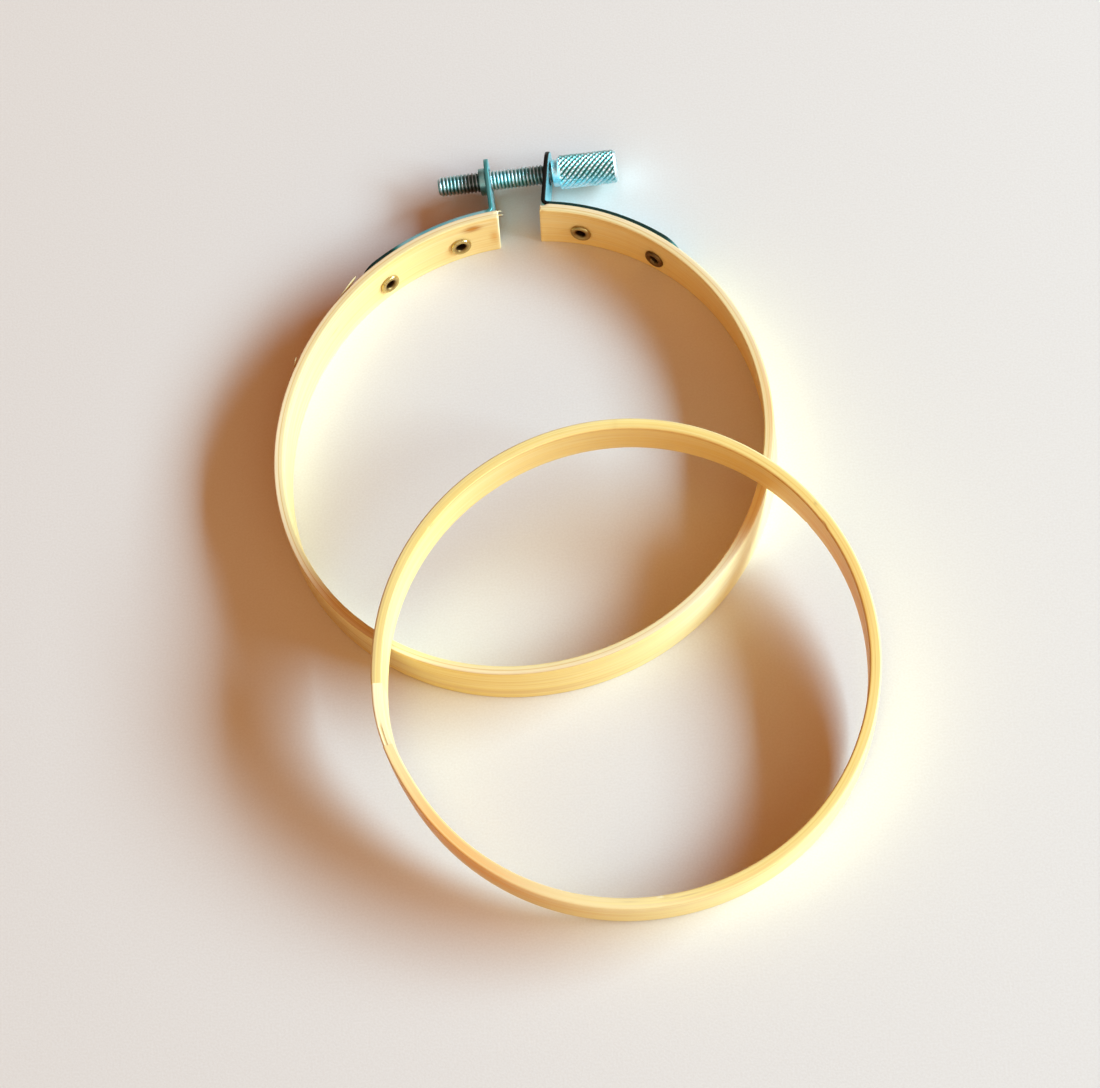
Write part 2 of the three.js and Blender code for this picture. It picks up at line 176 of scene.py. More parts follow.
@dataclass
class StripPath:
    """Plan curve of the outer strip's outer face, and how its free ends have sprung.

    Attributes:
        radius: Mean radius of the outer face.
        oval: How far the open ring has sprung into an oval.
        oval_turn: Angle from the gap to the oval's long axis, in degrees.
        egg: Three-lobed part of the spring-back.
        gap: Distance between the two ends.
        lean: How much further out the top edge is than the bottom edge at the ends.
        step: How far the right end lies outside the curve, and the left end inside it.
        slant: How far the end cuts are out of square over the height.
        lean_length: Stretch over which lean and step fade out.
        slant_length: Stretch over which the slant fades out.
        measured_steps: Steps in which the curve is measured.
    """

    radius: float = 54.0
    oval: float = 1.68
    oval_turn: float = 2.8
    egg: float = 0.32
    gap: float = 9.2
    lean: float = 0.9
    step: float = 0.4
    slant: float = 1.25
    lean_length: float = 45.0
    slant_length: float = 16.0
    measured_steps: int = 14400
    turns: np.ndarray = field(init=False)
    lengths: np.ndarray = field(init=False)

    def __post_init__(self) -> None:
        """Measures the curve once."""
        self.turns = np.linspace(0, 2 * math.pi, self.measured_steps + 1)
        points = self.curve(self.turns)
        steps = np.linalg.norm(np.diff(points, axis=0), axis=1)
        self.lengths = np.concatenate([[0], np.cumsum(steps)])

    @property
    def length(self) -> float:
        """Length of the whole closed curve."""
        return float(self.lengths[-1])

    def curve(self, turn: np.ndarray) -> np.ndarray:
        """Points of the curve about the ring's centre.

        Args:
            turn: Angles in radians, clockwise from the middle of the gap.

        Returns:
            An array of x and y.
        """
        radius = self.spread(turn)
        return np.stack([radius * np.sin(turn), radius * np.cos(turn)], -1)

    def spread(self, turn: np.ndarray) -> np.ndarray:
        """Radius of the outer face at each angle in radians."""
        oval = self.oval * np.cos(2 * (turn - math.radians(self.oval_turn)))
        return self.radius + oval + self.egg * np.cos(3 * turn)

    def directions(self, along: np.ndarray) -> tuple[np.ndarray, np.ndarray, np.ndarray]:
        """Point, clockwise direction and outward direction at distances along the strip.

        Args:
            along: Distances from the middle of the gap, negative to the left.

        Returns:
            Three arrays of x and y.
        """
        turn = np.interp(np.mod(along, self.length), self.lengths, self.turns)
        radius = self.spread(turn)
        oval = -2 * self.oval * np.sin(2 * (turn - math.radians(self.oval_turn)))
        change = oval - 3 * self.egg * np.sin(3 * turn)
        x = change * np.sin(turn) + radius * np.cos(turn)
        y = change * np.cos(turn) - radius * np.sin(turn)
        forward = np.stack([x, y], -1)
        forward /= np.linalg.norm(forward, axis=-1, keepdims=True)
        outward = np.stack([-forward[..., 1], forward[..., 0]], -1)
        return self.curve(turn), forward, outward

    def sprung(self, along: np.ndarray, height: np.ndarray) -> np.ndarray:
        """How far out of the plan curve the strip has sprung.

        Args:
            along: Distances along the strip.
            height: Heights over the table.

        Returns:
            Distances outwards.
        """
        lean = self.lean * (np.asarray(height) / STRIP_HEIGHT - 0.5)
        return (lean + self.step * np.sign(along)) * smooth_fall(along, self.lean_length)

    def place(self, along: np.ndarray, outset: np.ndarray, height: np.ndarray) -> np.ndarray:
        """Points on or in the strip.

        Args:
            along: Distances along the strip from the middle of the gap.
            outset: Distances out from the outer face.
            height: Heights over the table.

        Returns:
            An array of x, y and z in the shared frame.
        """
        along, outset, height = np.broadcast_arrays(
            np.asarray(along, float), np.asarray(outset, float), np.asarray(height, float)
        )
        point, _, outward = self.directions(along)
        flat = point + outward * (outset + self.sprung(along, height))[..., None]
        return np.concatenate([flat, height[..., None]], -1) + HOOP_CENTRE

    def slanted(self, along: np.ndarray, height: np.ndarray) -> np.ndarray:
        """Distances along the strip once the ends' slanting cuts are taken in."""
        lean = self.slant * (np.asarray(height) / STRIP_HEIGHT - 0.5)
        return along + lean * smooth_fall(along, self.slant_length)

    def frame(self, along: float, height: float) -> np.ndarray:
        """Placement on the outer face, with Y pointing outwards and X clockwise.

        Args:
            along: Distance along the strip.
            height: Height over the table.

        Returns:
            A 4 by 4 matrix in millimetres.
        """
        probe = 0.05
        forward = self.place(along + probe, 0, height) - self.place(along - probe, 0, height)
        rise = self.place(along, 0, height + probe) - self.place(along, 0, height - probe)
        forward /= np.linalg.norm(forward)
        rise /= np.linalg.norm(rise)
        outward = np.cross(rise, forward)
        outward /= np.linalg.norm(outward)
        placed = np.eye(4)
        placed[:3, 0] = forward
        placed[:3, 1] = outward
        placed[:3, 2] = np.cross(forward, outward)
        placed[:3, 3] = self.place(along, 0, height)
        return placed


@dataclass(frozen=True)
class Section:
    """Rounded rectangle of a strip or a sheet, drawn in outset and height.

    Attributes:
        thickness: From the outer face at 0 to the inner face at minus this.
        height: Width of the strip.
        corner: Radius of the rounded edges.
        wall_steps: Steps up each face.
        rim_steps: Steps across each rim.
        corner_steps: Steps round each edge.
    """

    thickness: float
    height: float
    corner: float
    wall_steps: int
    rim_steps: int
    corner_steps: int = 4

    def outline(self) -> np.ndarray:
        """The section's points, up the outer face first and then over the top rim."""
        low = self.corner
        high = self.height - self.corner
        rise = np.linspace(low, high, self.wall_steps + 1)
        across = np.linspace(-self.corner, self.corner - self.thickness, self.rim_steps + 1)
        arc = np.linspace(0, math.pi / 2, self.corner_steps + 1)[1:-1]
        cosine = self.corner * np.cos(arc)
        sine = self.corner * np.sin(arc)
        inner = -self.thickness
        stretches = [
            (np.zeros_like(rise), rise),
            (-self.corner + cosine, high + sine),
            (across, np.full_like(across, self.height)),
            (inner + self.corner - sine, high + cosine),
            (np.full_like(rise, inner), rise[::-1]),
            (inner + self.corner - cosine, low - sine),
            (across[::-1], np.zeros_like(across)),
            (-self.corner + sine, low - cosine),
        ]
        return np.concatenate([np.stack(stretch, -1) for stretch in stretches])

    def on_top(self, height: np.ndarray) -> np.ndarray:
        """Which heights belong to the top rim with its rounded edges."""
        return height > self.height - self.corner - RIM_MARGIN

    def wall_index(self, step: int, outer: bool) -> int:
        """Index in the outline of a point on one of the faces.

        Args:
            step: Step up the face.
            outer: Whether it is the outer face.

        Returns:
            The index.
        """
        if outer:
            return step
        first = self.wall_steps + 1 + 2 * (self.corner_steps - 1) + self.rim_steps + 1
        return first + self.wall_steps - step

    def edge_tone(self) -> np.ndarray:
        """1 at the top inner edge and falling off beside it, for every point of the outline."""
        points = self.outline()
        edge = np.array([-self.thickness, self.height - self.corner])
        return smooth_fall(np.linalg.norm(points - edge, axis=1), self.corner)


@dataclass(frozen=True)
class Mark:
    """A mark in the bamboo, in strip coordinates.

    Attributes:
        along: Middle along the strip.
        outset: Middle across the thickness.
        height: Middle height.
        length: Half length along the strip.
        width: Half width across it.
        depth: How deep it is dented, and 0 for a mark of colour alone.
        brown: Strength of its brown: a stain on small marks, and painted shade on broad marks over walls
            facing away from the light.
        pale: Strength of its pale tone: torn and sanded wood on small marks, and painted light on broad
            marks over lit walls and the cut end.
        amber: Strength of its amber: the wood's own on the knots, and painted shade on broad marks over
            shaded walls.
    """

    along: float
    outset: float
    height: float
    length: float
    width: float
    depth: float = 0.0
    brown: float = 0.0
    pale: float = 0.0
    amber: float = 0.0

    def strength(self, places: np.ndarray) -> np.ndarray:
        """How strong the mark is at each place.

        Args:
            places: Array of along, outset and height.

        Returns:
            Values from 0 to 1.
        """
        middle = np.array([self.along, self.outset, self.height])
        reach = np.array([self.length, self.width, self.width])
        distance = np.linalg.norm((places - middle) / reach, axis=1)
        return np.exp(-(distance ** 2))


def strongest_mark(places: np.ndarray, marks: Sequence[Mark], kind: str) -> np.ndarray:
    """Strength of the strongest mark at each place.

    Args:
        places: Along, outset and height of each point.
        marks: Knots, stains, torn spots, and broad marks of painted light and shade.
        kind: The mark's field that counts: depth, brown, pale or amber.

    Returns:
        A value for each place.
    """
    strongest = np.zeros(len(places))
    for mark in marks:
        if getattr(mark, kind) > 0:
            strongest = np.maximum(strongest, getattr(mark, kind) * mark.strength(places))
    return strongest


class SheetMesh:
    """A strip of even section swept along its length, with round holes punched through it."""

    hole_margin = 1.45  # the grid is opened this many times wider than a hole, and refilled round it

    def __init__(
        self,
        alongs: np.ndarray,
        section: Section,
        place: Callable[[np.ndarray, np.ndarray, np.ndarray], np.ndarray],
        closed: bool = False,
    ) -> None:
        """Lays out the grid.

        Args:
            alongs: Places of the cross-sections.
            section: The section that is swept.
            place: Gives the points for along, outset and height.
            closed: Whether the last cross-section joins the first.
        """
        self.alongs = alongs
        self.section = section
        self.place = place
        outline = section.outline()
        self.columns = len(outline)
        rows = len(alongs)
        along = np.repeat(alongs, self.columns)
        self.places = np.column_stack([along, np.tile(outline, (rows, 1))])
        self.edges = np.tile(section.edge_tone(), rows)
        self.points = place(self.places[:, 0], self.places[:, 1], self.places[:, 2])
        self.faces: dict[tuple[int, int], tuple[int, ...]] = {}
        self.extra: list[tuple[int, ...]] = []
        for row in range(rows if closed else rows - 1):
            following = (row + 1) % rows
            for column in range(self.columns):
                beside = (column + 1) % self.columns
                self.faces[(row, column)] = (
                    row * self.columns + column,
                    row * self.columns + beside,
                    following * self.columns + beside,
                    following * self.columns + column,
                )
        if not closed:
            self.extra.append(tuple(range(self.columns - 1, -1, -1)))
            self.extra.append(tuple((rows - 1) * self.columns + k for k in range(self.columns)))

    def add_points(self, places: np.ndarray) -> np.ndarray:
        """Adds points by their places in the strip.

        Args:
            places: Array of along, outset and height.

        Returns:
            The indices of the new points.
        """
        first = len(self.points)
        added = self.place(places[:, 0], places[:, 1], places[:, 2])
        self.points = np.concatenate([self.points, added])
        self.places = np.concatenate([self.places, places])
        self.edges = np.concatenate([self.edges, np.zeros(len(places))])
        return np.arange(first, first + len(places))

    def punch(self, along: float, height: float, radius: float) -> None:
        """Punches a round hole through both faces.

        Args:
            along: Middle of the hole along the strip.
            height: Middle of the hole's height.
            radius: Radius of the hole.
        """
        reach = radius * self.hole_margin
        first = int(np.searchsorted(self.alongs, along - reach)) - 1
        last = int(np.searchsorted(self.alongs, along + reach))
        rise = np.linspace(
            self.section.corner, self.section.height - self.section.corner, self.section.wall_steps + 1
        )
        low = int(np.searchsorted(rise, height - reach)) - 1
        high = int(np.searchsorted(rise, height + reach))
        rim = [(row, low) for row in range(first, last)]
        rim += [(last, step) for step in range(low, high)]
        rim += [(row, high) for row in range(last, first, -1)]
        rim += [(first, step) for step in range(high, low, -1)]
        loops = []
        for outer in (True, False):
            ring = [row * self.columns + self.section.wall_index(step, outer) for row, step in rim]
            offset = self.places[ring][:, [0, 2]] - np.array([along, height])
            angle = np.arctan2(offset[:, 1], offset[:, 0])
            outset = 0.0 if outer else -self.section.thickness
            hole = np.column_stack([
                along + radius * np.cos(angle),
                np.full(len(rim), outset),
                height + radius * np.sin(angle),
            ])
            loops.append((ring, self.add_points(hole)))
            for row in range(first, last):
                for step in range(low, high):
                    column = self.section.wall_index(step if outer else step + 1, outer)
                    self.faces.pop((row, column))
        for ring, hole in loops:
            self.bridge(ring, hole)
        self.bridge(loops[0][1], loops[1][1])

    def bridge(self, one: Sequence[int], other: Sequence[int]) -> None:
        """Joins two loops of as many points with faces.

        Args:
            one: Indices of the first loop.
            other: Indices of the second loop.
        """
        count = len(one)
        for index in range(count):
            after = (index + 1) % count
            self.extra.append((int(one[index]), int(one[after]), int(other[after]), int(other[index])))

    def all_faces(self) -> list[tuple[int, ...]]:
        """Every face that is left."""
        return list(self.faces.values()) + self.extra


def make_piece(
    name: str,
    points: np.ndarray,
    faces: Iterable[Sequence[int]],
    material: bpy.types.Material,
    values: dict[str, np.ndarray] | None = None,
    sharp: float = SHARP_ANGLE,
) -> bpy.types.Object:
    """Makes a smooth mesh object with its own values on the points.

    Args:
        name: Name of the piece.
        points: Points in millimetres.
        faces: Faces as point indices.
        material: Finish of the piece.
        values: Named values, one number or one vector for each point.
        sharp: Angle over which an edge stays sharp.

    Returns:
        The new object.
    """
    mesh = bpy.data.meshes.new(name)
    scaled = np.asarray(points, float) * MILLIMETRE
    mesh.from_pydata(scaled.tolist(), [], [tuple(int(k) for k in face) for face in faces])
    for key, data in (values or {}).items():
        vector = np.ndim(data) == 2
        attribute = mesh.attributes.new(key, "FLOAT_VECTOR" if vector else "FLOAT", "POINT")
        slot = "vector" if vector else "value"
        attribute.data.foreach_set(slot, np.asarray(data, np.float32).ravel())
    edit = bmesh.new()
    edit.from_mesh(mesh)
    bmesh.ops.remove_doubles(edit, verts=edit.verts, dist=WELD_DISTANCE)
    bmesh.ops.recalc_face_normals(edit, faces=edit.faces)
    edit.to_mesh(mesh)
    edit.free()
    mesh.polygons.foreach_set("use_smooth", [True] * len(mesh.polygons))
    mesh.set_sharp_from_angle(angle=sharp)
    mesh.materials.append(material)
    piece = bpy.data.objects.new(name, mesh)
    bpy.context.scene.collection.objects.link(piece)
    log.info("%s: %d points, %d faces", name, len(mesh.vertices), len(mesh.polygons))
    return piece


def add_node(
    tree: bpy.types.NodeTree,
    kind: str,
    inputs: dict[str | int, object] | None = None,
    **settings: object,
) -> bpy.types.Node:
    """Adds a shader node with its settings, values and links.

    Args:
        tree: The tree that takes the node.
        kind: Blender's name of the node's type, after ShaderNode.
        inputs: Values, or sockets of other nodes, for the node's inputs.
        **settings: Settings of the node itself.

    Returns:
        The new node.
    """
    node = tree.nodes.new("ShaderNode" + kind)
    for key, setting in settings.items():
        setattr(node, key, setting)
    for key, value in (inputs or {}).items():
        if isinstance(value, bpy.types.NodeSocket):
            tree.links.new(value, node.inputs[key])
        else:
            node.inputs[key].default_value = value
    return node


def fill_ramp(node: bpy.types.Node, stops: Sequence[tuple[float, str]]) -> bpy.types.NodeSocket:
    """Sets the stops of a colour ramp.

    Args:
        node: The ramp.
        stops: Places and sRGB hex colours, in order.

    Returns:
        The ramp's colour socket.
    """
    ramp = node.color_ramp
    while len(ramp.elements) < len(stops):
        ramp.elements.new(0.5)
    for element, (place, code) in zip(ramp.elements, stops):
        element.position = place
        element.color = linear_colour(code)
    return node.outputs["Color"]


def lay_colours(
    tree: bpy.types.NodeTree,
    base: bpy.types.NodeSocket | str,
    layers: Iterable[tuple[bpy.types.NodeSocket, str]],
) -> bpy.types.NodeSocket:
    """Lays colours over a base, one after another.

    Args:
        tree: The tree that takes the nodes.
        base: The first colour, from a socket or as a hex code.
        layers: How much of each further colour shows, and its hex code.

    Returns:
        The socket of the colour that comes out.
    """
    laid = linear_colour(base) if isinstance(base, str) else base
    for share, code in layers:
        colours = {0: share, 6: laid, 7: linear_colour(code)}
        laid = add_node(tree, "Mix", colours, data_type="RGBA").outputs[2]
    return laid


@dataclass(frozen=True)
class Finish:
    """What every finish has.

    Attributes:
        name: Common name of the material and how its surface was made.
        roughness: Microscopic roughness.
        metallic: 1 for a metal.
        ior: Index of refraction, left at Blender's default for a metal.
        bump: How strongly the relief of its grain shows, from 0 to 1.
    """

    name: str
    roughness: float
    metallic: float = 0.0
    ior: float = 1.5
    bump: float = 0.0

    def start(self) -> tuple[bpy.types.Material, bpy.types.NodeTree, bpy.types.Node]:
        """Makes the material with its surface shader.

        Returns:
            The material, its node tree and its Principled shader.
        """
        material = bpy.data.materials.new(self.name)
        material.use_nodes = True
        tree = material.node_tree
        shader = tree.nodes["Principled BSDF"]
        shader.inputs["Roughness"].default_value = self.roughness
        shader.inputs["Metallic"].default_value = self.metallic
        shader.inputs["IOR"].default_value = self.ior
        return material, tree, shader


def even_grain(tree: bpy.types.NodeTree, size: float, detail: float) -> bpy.types.NodeSocket:
    """Grain that is as long as it is wide, fixed to the piece.

    Args:
        tree: The material's tree.
        size: Size of a grain in millimetres.
        detail: Finer levels added to it.

    Returns:
        A value socket, about 0.5 in the mean.
    """
    place = add_node(tree, "TexCoord").outputs["Object"]
    grains = {"Vector": place, "Scale": 1 / (size * MILLIMETRE), "Detail": detail}
    return add_node(tree, "TexNoise", grains).outputs["Fac"]


@dataclass(frozen=True)
class Streak:
    """One layer of streaks in the bamboo.

    Attributes:
        width: Width of a streak in millimetres.
        length: Length of a streak in millimetres.
        low: Noise value at which the colour starts to show.
        high: Noise value at which it shows in full.
        strength: How much of the colour shows in full.
        colour: The streak's colour.
    """

    width: float
    length: float
    low: float
    high: float
    strength: float
    colour: str


@dataclass(frozen=True)
class PlanedBamboo(Finish):
    """Bamboo strip, split, planed and steam-bent, with a thin satin lacquer.

    Bundles of fibres run the whole length of the strip. They are dense and tan by the skin and
    thin out to pale straw on the inside, so the rim shows two tones with a golden line between
    them, and the faces show long fine streaks.

    Attributes:
        thickness: Of the strip, over which the tone changes.
        layers: Colour stops from the skin at 0 to the inner face at 1.
        streaks: Layers of streaks, the broad ones first.
        wander: How far the layers' borders wander, as a share of the thickness.
        edge_colour: Colour of the line along the rim's inner edge, the wood's own; on the inner ring also
            painted shade.
        edge_strength: How strongly that edge shows.
        specular: Share of the gloss that the planed pores leave, 0.5 for a closed surface.
        gloss: Roughness of the shiniest and of the dullest bundle of fibres.
        marks: The values that mark the strip, how strongly each shows, and its colour.
        marks_in_bundles: How much a mark's strength goes down and up from bundle to bundle.
        relief: Depth of the grain in millimetres.
        bundle_relief: How much of it the bundles make, beside the finest streaks.
    """

    name: str = "bamboo_planed_satin"
    roughness: float = 0.46
    ior: float = 1.52
    bump: float = 0.4
    thickness: float = 2.1
    layers: tuple[tuple[float, str], ...] = (
        (0.0, "#F2D98C"),
        (0.05, "#DDBB82"),
        (0.13, "#FAE5BA"),
        (0.42, "#F8E2B2"),
        (0.50, "#E6C077"),
        (0.58, "#F7E2AC"),
        (0.86, "#F7E4A4"),
        (1.0, "#F6D892"),
    )
    streaks: tuple[Streak, ...] = (
        Streak(1.7, 60.0, 0.48, 0.80, 0.28, "#E2B05C"),
        Streak(2.3, 80.0, 0.46, 0.80, 0.34, "#FBEDBE"),
        Streak(0.30, 26.0, 0.48, 0.80, 0.34, "#D39E55"),
        Streak(0.24, 34.0, 0.50, 0.78, 0.30, "#FBEFC4"),
        Streak(0.15, 8.0, 0.58, 0.80, 0.26, "#B98348"),
    )
    wander: float = 0.12
    edge_colour: str = "#D9A855"
    edge_strength: float = 0.35
    specular: float = 0.2
    gloss: tuple[float, float] = (0.38, 0.56)
    marks: tuple[tuple[str, float, str], ...] = (
        (BROWN_ATTRIBUTE, 0.85, "#955420"),
        (PALE_ATTRIBUTE, 0.9, "#FFF6CE"),
        (AMBER_ATTRIBUTE, 1.0, "#F2A63A"),
    )
    marks_in_bundles: tuple[float, float] = (0.6, 1.3)
    relief: float = 0.04
    bundle_relief: float = 0.6

    def stretched_noise(
        self, tree: bpy.types.NodeTree, place: bpy.types.NodeSocket, streak: Streak
    ) -> bpy.types.NodeSocket:
        """Noise drawn out along the strip.

        Args:
            tree: The material's tree.
            place: Socket with along, outset and height in millimetres.
            streak: The streaks that it is for.

        Returns:
            The noise's value socket, about 0.5 in the mean.
        """
        scale = (1 / streak.length, 1 / streak.width, 1 / streak.width)
        offset = (streak.length, 7 * streak.low, 13 * streak.width)
        mapped = add_node(tree, "Mapping", {"Vector": place, "Location": offset, "Scale": scale})
        waves = {"Vector": mapped.outputs[0], "Scale": 1.0, "Detail": 2.0}
        return add_node(tree, "TexNoise", waves).outputs["Fac"]

    def build(self) -> bpy.types.Material:
        """Makes the material.

        Returns:
            The bamboo material.
        """
        material, tree, shader = self.start()
        place = add_node(tree, "Attribute", attribute_name=PLACE_ATTRIBUTE).outputs["Vector"]
        outset = add_node(tree, "SeparateXYZ", {0: place}).outputs["Y"]
        noises = [self.stretched_noise(tree, place, streak) for streak in self.streaks]
        depth = add_node(tree, "Math", {0: outset, 1: -1 / self.thickness}, operation="MULTIPLY")
        wobble = add_node(tree, "Math", {0: noises[0], 1: 0.5}, operation="SUBTRACT")
        shifted = {0: wobble.outputs[0], 1: self.wander, 2: depth.outputs[0]}
        tone = add_node(tree, "Math", shifted, operation="MULTIPLY_ADD")
        base = fill_ramp(add_node(tree, "ValToRGB", {0: tone.outputs[0]}), self.layers)
        streaked = []
        for noise, streak in zip(noises, self.streaks):
            span = {0: noise, 1: streak.low, 2: streak.high, 3: 0.0, 4: streak.strength}
            share = add_node(tree, "MapRange", span, interpolation_type="SMOOTHSTEP")
            streaked.append((share.outputs[0], streak.colour))
        bundles = noises[2]
        weakest, strongest = self.marks_in_bundles
        marked = []
        for key, strength, code in ((EDGE_ATTRIBUTE, self.edge_strength, self.edge_colour), *self.marks):
            mark = add_node(tree, "Attribute", attribute_name=key).outputs["Fac"]
            span = {0: bundles, 1: NOISE_LOW, 2: NOISE_HIGH, 3: weakest * strength, 4: strongest * strength}
            rough = add_node(tree, "MapRange", span)
            crossed = {0: mark, 1: rough.outputs[0]}
            share = add_node(tree, "Math", crossed, operation="MULTIPLY", use_clamp=True)
            marked.append((share.outputs[0], code))
        tree.links.new(lay_colours(tree, base, streaked + marked), shader.inputs["Base Color"])
        span = {0: bundles, 1: NOISE_LOW, 2: NOISE_HIGH, 3: self.gloss[0], 4: self.gloss[1]}
        dull = add_node(tree, "MapRange", span)
        tree.links.new(dull.outputs[0], shader.inputs["Roughness"])
        grain = {0: bundles, 1: self.bundle_relief, 2: noises[4]}
        height = add_node(tree, "Math", grain, operation="MULTIPLY_ADD").outputs[0]
        rise = {"Strength": self.bump, "Distance": self.relief * MILLIMETRE, "Height": height}
        tree.links.new(add_node(tree, "Bump", rise).outputs[0], shader.inputs["Normal"])
        # the cut pores scatter most of the gloss
        shader.inputs["Specular IOR Level"].default_value = self.specular
        return material


INNER_LAYERS = (
    (0.0, "#F3DF9C"),
    (0.06, "#F6DF9E"),
    (0.14, "#F8E094"),
    (0.45, "#F7DC86"),
    (0.55, "#F1D178"),
    (0.66, "#F6DA86"),
    (0.90, "#F0CE76"),
    (1.0, "#F2D286"),
)


@dataclass(frozen=True)
class BrightZinc(Finish):
    """Zinc-plated steel with a clear blue passivation, bright from the bath.

    The film is a few tenths of a micron thick, so the metal drifts from neutral to pale blue and
    teal; painted shade darkens the roots of threads and knurls and the sheets' sheared edges.

    Attributes:
        tints: The drift of colour.
        gloss: Roughness of the brightest and of the dullest grain.
        groove_shade_colour: Painted shade at the bottom of a groove.
        darkest_shade_colour: Darkest painted shade and dark reflection, on sheared edges and the deepest
            roots.
        lug_shade_colour: Painted shade and brown reflection on the thread beside the lug and the nut.
        patch: Size of a patch of one tint in millimetres.
        darkest_shade_from: Depth in a groove from which its painted shade turns to the darkest colour.
        grain: Size of the plating's grain in millimetres, drawn coarser than it is, to show.
        relief: Depth of the grain in millimetres.
    """

    name: str = "zinc_plated_steel_blue_bright"
    roughness: float = 0.32
    metallic: float = 1.0
    bump: float = 0.25
    tints: tuple[tuple[float, str], ...] = (
        (0.3, "#D6EDEF"),
        (0.45, "#FBF6F8"),
        (0.6, "#B0E0E4"),
        (0.75, "#F8F4F8"),
    )
    gloss: tuple[float, float] = (0.26, 0.4)
    groove_shade_colour: str = "#3C8D84"
    darkest_shade_colour: str = "#2B2622"
    lug_shade_colour: str = "#5A4436"
    patch: float = 3.5
    darkest_shade_from: float = 0.8
    grain: float = 0.18
    relief: float = 0.01

    def build(self) -> bpy.types.Material:
        """Makes the material.

        Returns:
            The zinc material.
        """
        material, tree, shader = self.start()
        drift = even_grain(tree, self.patch, 2.0)
        tint = fill_ramp(add_node(tree, "ValToRGB", {0: drift}), self.tints)
        # painted shade: grooves, sheared edges and the thread beside the lug and the nut are darkened in the
        # colour
        groove = add_node(tree, "Attribute", attribute_name=SHADE_AND_TONE_ATTRIBUTE).outputs["Fac"]
        shaded = add_node(tree, "MapRange", {0: groove, 1: 0.0, 2: self.darkest_shade_from}).outputs[0]
        shade_weight = add_node(tree, "MapRange", {0: groove, 1: self.darkest_shade_from, 2: 1.0}).outputs[0]
        lug_shade = add_node(tree, "Attribute", attribute_name=LUG_SHADE_ATTRIBUTE).outputs["Fac"]
        painted_shades = ((shaded, self.groove_shade_colour), (shade_weight, self.darkest_shade_colour), (lug_shade, self.lug_shade_colour))
        tree.links.new(lay_colours(tree, tint, painted_shades), shader.inputs["Base Color"])
        grain = even_grain(tree, self.grain, 3.0)
        span = {0: grain, 1: NOISE_LOW, 2: NOISE_HIGH, 3: self.gloss[0], 4: self.gloss[1]}
        dull = add_node(tree, "MapRange", span)
        tree.links.new(dull.outputs[0], shader.inputs["Roughness"])
        rise = {"Strength": self.bump, "Distance": self.relief * MILLIMETRE, "Height": grain}
        tree.links.new(add_node(tree, "Bump", rise).outputs[0], shader.inputs["Normal"])
        return material


@dataclass(frozen=True)
class DullBrass(Finish):
    """Brass-plated steel eyelet, rolled over by the setting tool and slightly tarnished.

    The rolled rim is polished by the tool, and the bore is darkened with painted shade.

    Attributes:
        bright: Colour of the rubbed metal.
        tarnish_and_shade: Colour of the tarnish spots, and of the painted shade in the bore and on the
            shaded eyelets.
        spot: Size of a spot of film in millimetres.
        spot_span: Values of the noise at which a spot starts and at which it is full.
        spot_strength: How dark a full spot is.
        gloss: Roughness of the rubbed metal and of the tarnished and shaded parts.
    """

    name: str = "brass_plated_eyelet"
    roughness: float = 0.3
    metallic: float = 1.0
    bright: str = "#DBC07A"
    tarnish_and_shade: str = "#63391A"
    spot: float = 0.9
    spot_span: tuple[float, float] = (0.5, 0.72)
    spot_strength: float = 0.6
    gloss: tuple[float, float] = (0.2, 0.5)

    def build(self) -> bpy.types.Material:
        """Makes the material.

        Returns:
            The brass material.
        """
        material, tree, shader = self.start()
        film = even_grain(tree, self.spot, 3.0)
        span = {0: film, 1: self.spot_span[0], 2: self.spot_span[1], 4: self.spot_strength}
        spots = add_node(tree, "MapRange", span)
        # painted shade in the bore and on the shaded eyelets, laid with the real tarnish spots
        groove = add_node(tree, "Attribute", attribute_name=SHADE_AND_TONE_ATTRIBUTE).outputs["Fac"]
        share = add_node(tree, "Math", {0: spots.outputs[0], 1: groove}, operation="MAXIMUM").outputs[0]
        colour = lay_colours(tree, self.bright, ((share, self.tarnish_and_shade),))
        tree.links.new(colour, shader.inputs["Base Color"])
        dull = add_node(tree, "MapRange", {0: share, 1: 0.0, 2: 1.0, 3: self.gloss[0], 4: self.gloss[1]})
        tree.links.new(dull.outputs[0], shader.inputs["Roughness"])
        return material


@dataclass(frozen=True)
class MattePaper(Finish):
    """Pale matte drawing paper under the hoop, with a faint tooth from the felt.

    Attributes:
        colour: Colour of the tooth's crests.
        shade: Colour between them.
        tooth: Size of the tooth in millimetres.
        relief: Depth of the tooth in millimetres.
    """

    name: str = "paper_matte_pale"
    roughness: float = 0.85
    bump: float = 0.35
    colour: str = "#EAE5DE"
    shade: str = "#E6E0D8"
    tooth: float = 0.45
    relief: float = 0.05

    def build(self) -> bpy.types.Material:
        """Makes the material.

        Returns:
            The paper material.
        """
        material, tree, shader = self.start()
        tooth = even_grain(tree, self.tooth, 2.0)
        share = add_node(tree, "MapRange", {0: tooth, 1: TOOTH_EDGES[0], 2: TOOTH_EDGES[1]}).outputs[0]
        colour = lay_colours(tree, self.colour, ((share, self.shade),))
        tree.links.new(colour, shader.inputs["Base Color"])
        rise = {"Strength": self.bump, "Distance": self.relief * MILLIMETRE, "Height": tooth}
        tree.links.new(add_node(tree, "Bump", rise).outputs[0], shader.inputs["Normal"])
        return material


